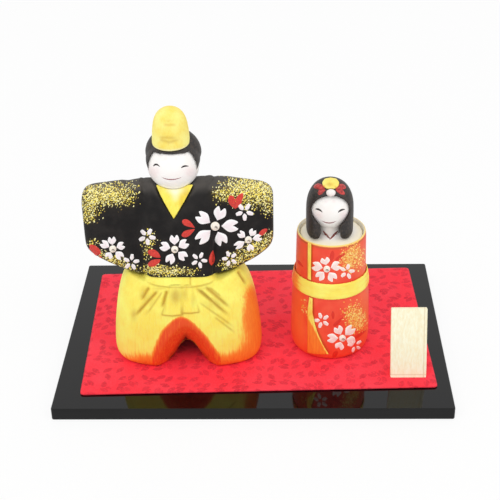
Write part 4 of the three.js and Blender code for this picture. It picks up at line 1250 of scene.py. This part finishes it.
# A pale patch where the neck meets the collar.
COLLAR_NECK = [(175, 189.5, 8, 5, 0.95), (175.4, 196.5, 4, 5, 0.5)]
# Patches of painted shade on the collar.
COLLAR_SHADE = [(186.5, 193, 4, 5, 0.4), (181.5, 202, 2.4, 7, 0.35), (160.5, 190, 2, 5, 0.2)]
puff_mask(collar, "wear_and_highlight", COLLAR_NECK)
puff_mask(collar, "crease_shade", COLLAR_SHADE)
finished(collar, collar_gold, "emperor", "gold_painted_clay", "emperor_collar")

# %% [markdown]
# ## The lady
#
# Her robe is a tube with a rounded rim, wrapped by one broad sash, with the front edge as a yellow strip
# that opens to a flap. The same clay copies serve, with finer voxels for the thin strips.

# %% Vermilion paint
vermilion = Finish("vermilion paint", "ea4a2b", 0.5)
bristle = vermilion.noise(1.6, 3, (1, 1, 0.12))
grains = vermilion.noise(3, 2)
vermilion.set(Base_Color=vermilion.layers(
    "f4442a",
    (vermilion.ease(vermilion.noise(0.1, 3), 0.35, 0.65), "f95636"),
    (vermilion.attribute("warmth"), "fb8636"),
    (vermilion.attribute("dust") * vermilion.ease(grains, 0.25, 0.6) * 0.5, "f0a040"),
    (vermilion.ease(bristle, 0.5, 0.8) * 0.14, "f97a52"),
    (vermilion.attribute("rim_line") * 0.7, "b05a1e"),
    (vermilion.attribute("gilt"), "ffe07c"),
    (vermilion.attribute("cream"), "fff7e6"),
))
vermilion.relief(bristle + grains * 0.5, 0.06, 0.6)
print("vermilion paint", len(vermilion.tree.nodes), "nodes")

# %% Gown
gown = clay("empress_gown", voxel=0.5, rounds=50, keep=0.5, reach=1)
LADY_DUST = [
    (354, 256, 8, 12, 0.95), (346, 262, 6, 7, 0.6), (344, 254, 4, 5, 0.3),
    (354, 317, 8, 11, 0.9), (361, 322, 6, 8, 0.6), (305, 305, 3, 5, 0.3), (306, 312, 3, 5, 0.2),
]
LADY_WARMTH = [(297, 312, 8, 26, 0.4), (301, 340, 9, 22, 0.3), (365, 312, 8, 26, 0.4),
               (362, 262, 7, 20, 0.35), (296, 262, 5, 16, 0.5)]
puff_mask(gown, "dust", LADY_DUST)
puff_mask(gown, "warmth", LADY_WARMTH)
print("clouds of dust on the lady", len(LADY_DUST))

# %% The gown's rim and the lines beside its front edge
x, y, z = (points_of(gown) - LADY).T
LIP = {"top": 71.2, "round": 0.8, "inner": 17.3, "oval": 1.02, "ledge": (60, 62)}
RIM_LINE = {"down": 1.3, "width": 0.5}
EDGE_LINES = [((309.6, 247, 309.6, 278), 2.3), ((311, 298, 312, 318), 2.2), ((310.8, 318, 328.8, 352), 0.3)]
EDGE_LINE_WIDTH = 0.6
inside_rim = 1 - step_up(np.hypot(x, y / LIP["oval"]), LIP["inner"], LIP["inner"] + 0.5)
lip_start = LIP["top"] - LIP["round"]
paint_mask(gown, "gilt", step_up(z, lip_start - 0.9, lip_start - 0.4))
below_lip = 1 - step_up(z, LIP["top"] - 0.7, LIP["top"] - 0.3)
paint_mask(gown, "cream", step_up(z, *LIP["ledge"]) * inside_rim * below_lip)
rim_line = np.exp(-(((z - lip_start + RIM_LINE["down"]) / RIM_LINE["width"]) ** 2)) * (1 - inside_rim)
for line, apart in EDGE_LINES:
    away, _ = near_line(*picture_of(gown), line)
    edge_line = np.exp(-(((away - apart) / EDGE_LINE_WIDTH) ** 2)) * facing_camera(gown)
    rim_line = np.maximum(rim_line, 0.7 * edge_line)
paint_mask(gown, "rim_line", rim_line)
finished(gown, vermilion, "empress", "vermilion_painted_clay", "empress_gown")

# %% Sash and front edge
sash_gold = gold_paint("brushed sash gold", (0.1, 0.1, 1.2))
obi = clay("empress_obi", voxel=0.36, rounds=10, keep=0.4, reach=0.8)
OBI_LEFT, OBI_RIGHT = (291, 307), (361, 369)
across, _ = picture_of(obi)
ends = (1 - step_up(across, *OBI_LEFT)) * 0.75 + step_up(across, *OBI_RIGHT) * 0.35
paint_mask(obi, "warmth", ends * facing_camera(obi))
finished(obi, sash_gold, "empress", "gold_painted_clay", "empress_obi")

FLAP_EDGE = (312, 318, 329.5, 352)
FLAP_TOP, FLAP_INNER = (309, 325), (2.6, 4.2)
for node in ("empress_lapel_upper", "empress_lapel_lower"):
    strip = clay(node, voxel=0.26, rounds=12, keep=0.4)
    across, down = picture_of(strip)
    away, _ = near_line(across, down, FLAP_EDGE)
    paint_mask(strip, "warmth", step_up(down, *FLAP_TOP) * step_up(away, *FLAP_INNER) * 0.4 + 0.27)
    finished(strip, gold, "empress", "gold_painted_clay", node)

# %% The lady's blossoms, leaves and dust
LADY_HEARTS = [
    ((326.8, 269), [(324.4, 257.6), (340.2, 264.6), (334.6, 280.4), (317.4, 278.8), (312, 265.2)], 9.6, 4),
    ((342.4, 338.2),
     [(336.8, 326.4), (353.6, 326.6), (354.6, 341.6), (338.4, 349.2), (327.2, 338.2)], 9.4, 4),
]
LADY_STARS = [((347, 271.6), -66, 7.6, 3.6), ((321.8, 320.4), -108, 7.8, 3.6), ((355, 345.1), -110, 7.4, 3)]
blossoms("empress", gown, warm_petal, LADY_HEARTS, LADY_STARS, (3.4, 3.4))
LADY_LEAVES = [
    ((332.8, 250.5), (332, 256), (331, 261.5), 4.4, 0.5, 0.12),
    ((335.5, 260.5), (340, 257), (347, 252.3), 3.4, 0.4, 0.12),
    ((332.8, 311), (333, 315), (333.2, 319.4), 3.2, 0.5, 0.12),
    ((333.5, 326), (337.5, 322.5), (343.5, 316.8), 3.4, 0.4, 0.12),
    ((354.5, 339), (360, 334.5), (367, 329.8), 3.2, 0.4, 0.12),
    ((297, 259.5), (300, 263.5), (303.5, 267), 2.6, 0.4, 0.12),
    ((332.5, 357.5), (335.2, 354), (337.5, 350.5), 4.6, 0.5, 0.12),
]
deep_red = wavering("deep red leaf", "e0301c", 0.5, (1.2, 3), "ea351f", "d92a17")
throw_strokes("empress_leaves", LADY_LEAVES, gown, deep_red, "empress", "vermilion_painted_clay")
throw_dust("empress_gold_dust", LADY_DUST, 1.35, gown, orange_dust, "empress", "gold_painted_clay")

# %% [markdown]
# ## The lady's head
#
# A white inner robe closes the tube and holds her neck. Her hair is a long shell round the face, with
# squarer corners low in front, and carries two bows of thin clay, a small gold fan and a pearl. The V of
# her neckline runs over both head and inner robe, so it is thrown onto a skin joined from the two, which is
# taken away again. The bows are strokes too, thrown thicker than paint.

# %% Inner robe and head of the lady
under_robe = clay("empress_under_robe", voxel=0.4, rounds=30, keep=0.3)
x, y, _ = (points_of(under_robe) - LADY).T
NECK_TO_RIM = (9, 16)
paint_mask(under_robe, "cream", step_up(np.hypot(x, y), *NECK_TO_RIM) * 0.6)
finished(under_robe, face_white, "empress", "white_painted_clay", "empress_under_robe")
lady_head = clay("empress_head", voxel=0.4, rounds=40, grow=0.4)
LADY_BLUSH = [(316.8, 215.8, 5.5, 4.8, 0.22), (345.4, 215.8, 5.5, 4.8, 0.22), (326.3, 201.4, 2, 1.6, 0.14),
              (333.8, 201.4, 2, 1.6, 0.14)]
puff_mask(lady_head, "blush", LADY_BLUSH)
finished(lady_head, face_white, "empress", "white_painted_clay", "empress_head")
LADY_EYES = [
    ((315.2, 209.2), (318.8, 209.5), (322.6, 212.4), 1.9, 0.45, 0.05),
    ((338, 212.7), (341.2, 210.1), (345.4, 209.3), 1.9, 0.5, 0.05),
]
LADY_MOUTH = [((321.4, 220.4), (328.8, 223), (336.8, 220.8), 1.2, 0.5, 0.04)]
smile("empress", lady_head, LADY_EYES, LADY_MOUTH)

# %% The lady's neckline
NECK_V = [
    ((322.8, 230.6), (326.4, 235), (330.4, 239), 2, 0.5, 0.1),
    ((338, 230.6), (334, 235), (329.4, 239.8), 2, 0.5, 0.1),
]
both = bmesh.new()
both.from_mesh(lady_head.data)
both.from_mesh(under_robe.data)
neck_skin = object_from("neck_skin", both)
neckline_ink = wavering("neckline ink", "7d2a22", 0.5, (3, 2), "6b221c", "9a3a2e")
throw_strokes("empress_neckline", NECK_V, neck_skin, neckline_ink, "empress", "vermilion_painted_clay")
bpy.data.objects.remove(neck_skin)

# %% The lady's hair
lady_hair = clay("empress_hair", voxel=0.36, rounds=30, grow=0.25, keep=0.35, reach=1.6)
HAIR_AXIS = LADY[:2] + (-1.1, -1.5)
SQUARENESS = 3
ROUND_AGAIN = (72, 88)
points = points_of(lady_hair)
out = points[:, :2] - HAIR_AXIS
turn = np.arctan2(out[:, 1], out[:, 0])
squarer = (np.abs(np.cos(turn)) ** SQUARENESS + np.abs(np.sin(turn)) ** SQUARENESS) ** (-1 / SQUARENESS)
low_front = (1 - step_up(points[:, 2] - LADY[2], *ROUND_AGAIN)) * step_up(-out[:, 1], 0, 3)
points[:, :2] = HAIR_AXIS + out * (1 + (squarer - 1) * low_front)[:, None]
move_points(lady_hair, points)
finished(lady_hair, hair_black, "empress", "hair_black_clay", "empress_hair")

# %% Bows, fan and pearl
BOWS = [
    ((325.5, 190.5), (320, 186.6), (313.6, 187.4), 6, 0.62, 0.7),
    ((325.5, 190.5), (321.4, 191.4), (318.6, 195), 5, 0.6, 0.6),
    ((335.6, 190.5), (340, 186.8), (346, 188.2), 6, 0.62, 0.7),
    ((335.6, 190.5), (340, 191.2), (344.6, 194.6), 5, 0.6, 0.6),
]
bow_red = wavering("bow red", "d8473f", 0.45, (0.8, 3), "d8453f", "8f2a28", span=(0.3, 0.7))
throw_strokes("empress_ribbon_bows", BOWS, lady_hair, bow_red, "empress", "vermilion_painted_clay")
# Painted shade in the hollow of the fan, and warmer gold at its feet.
FAN_HOLLOW = [(329.6, 184.4, 3.4, 2, 0.5)]
FAN_FEET = [(323.5, 186.6, 3, 2, 0.3), (335.6, 186.8, 3, 2, 0.25)]
fan = clay("empress_hair_fan", voxel=0.22, rounds=14, keep=0.5)
puff_mask(fan, "crease_shade", FAN_HOLLOW)
puff_mask(fan, "warmth", FAN_FEET)
finished(fan, hat_gold, "empress", "gold_painted_clay", "empress_hair_fan")
pearl_white = wavering("pearl white", "f7f2ea", 0.25, (0.7, 2), "fffaf4", "eee2e0", Coat_Weight=0.4)
pearl = clay("empress_pearl", voxel=0.2, rounds=14, keep=0.4)
finished(pearl, pearl_white, "empress", "pearl_white", "empress_pearl")
for mark in unit_marks:
    bpy.data.objects.remove(mark)

# %% [markdown]
# ## Floor and light
#
# The set was photographed on a white table in soft light from the upper left. The floor is plain white
# paint. To the camera and to mirror-like surfaces it mostly glows, so that it reads as white while a little
# of the shadow stays.

# %% White floor
FLOOR_REACH = 8
FLOOR_GLOW = 0.88
floor_corners = [(x * FLOOR_REACH, y * FLOOR_REACH, 0) for x, y in ((-1, -1), (1, -1), (1, 1), (-1, 1))]
floor_mesh = bpy.data.meshes.new("floor")
floor_mesh.from_pydata(floor_corners, [], [(0, 1, 2, 3)])
floor = plain_object("floor", floor_mesh)
table_top = Finish("white table", "f4f4f4", 0.6)
print("floor", 2 * FLOOR_REACH, "m wide")


def seen_directly(finish):
    """1 on rays from the camera or off a mirror, 0 on the rays that carry soft light."""
    rays = [finish.node("ShaderNodeLightPath", {}, {}, name) for name in
            ("Is Camera Ray", "Is Glossy Ray", "Is Transmission Ray")]
    return finish.sum("MAXIMUM", finish.sum("MAXIMUM", rays[0], rays[1]), rays[2])


white_glow = table_top.node("ShaderNodeEmission", {}, {"Color": "ffffff", "Strength": 1})
painted = Wire(table_top, table_top.surface.outputs[0])
sockets = {0: seen_directly(table_top) * FLOOR_GLOW, 1: painted, 2: white_glow}
blend = table_top.node("ShaderNodeMixShader", {}, sockets)
table_top.feed(table_top.tree.nodes["Material Output"].inputs[0], blend)
floor.data.materials.append(table_top.material)

# %% World
SOFT_LIGHT, SEEN_LIGHT = 0.82, 1
world = bpy.data.worlds.new("studio")
bpy.context.scene.world = world
world.use_nodes = True
sky = Nodes(world.node_tree)
backdrop = world.node_tree.nodes["Background"]
backdrop.inputs["Color"].default_value = linear("ffffff")
sky.feed(backdrop.inputs["Strength"], SOFT_LIGHT + seen_directly(sky) * (SEEN_LIGHT - SOFT_LIGHT))
print("light from all sides", SOFT_LIGHT)

# %% Lamps
LAMPS = {"key": ((-0.55, -0.7, 1.1), 3.4), "fill": ((0.65, -0.45, 0.95), 2.2)}
LAMP_AIM = Vector((0, 0, 0.06))
LAMP_SIZE = 0.8


def lamp(name, place, power):
    """A square soft lamp that looks at the dolls."""
    data = bpy.data.lights.new(name, "AREA")
    data.shape = "SQUARE"
    data.size = LAMP_SIZE
    data.energy = power
    made = bpy.data.objects.new(name, data)
    bpy.context.collection.objects.link(made)
    made.location = place
    made.rotation_euler = (LAMP_AIM - Vector(place)).to_track_quat("-Z", "Y").to_euler()
    print(name, power, "W")


for name, (place, power) in LAMPS.items():
    lamp(name, place, power)
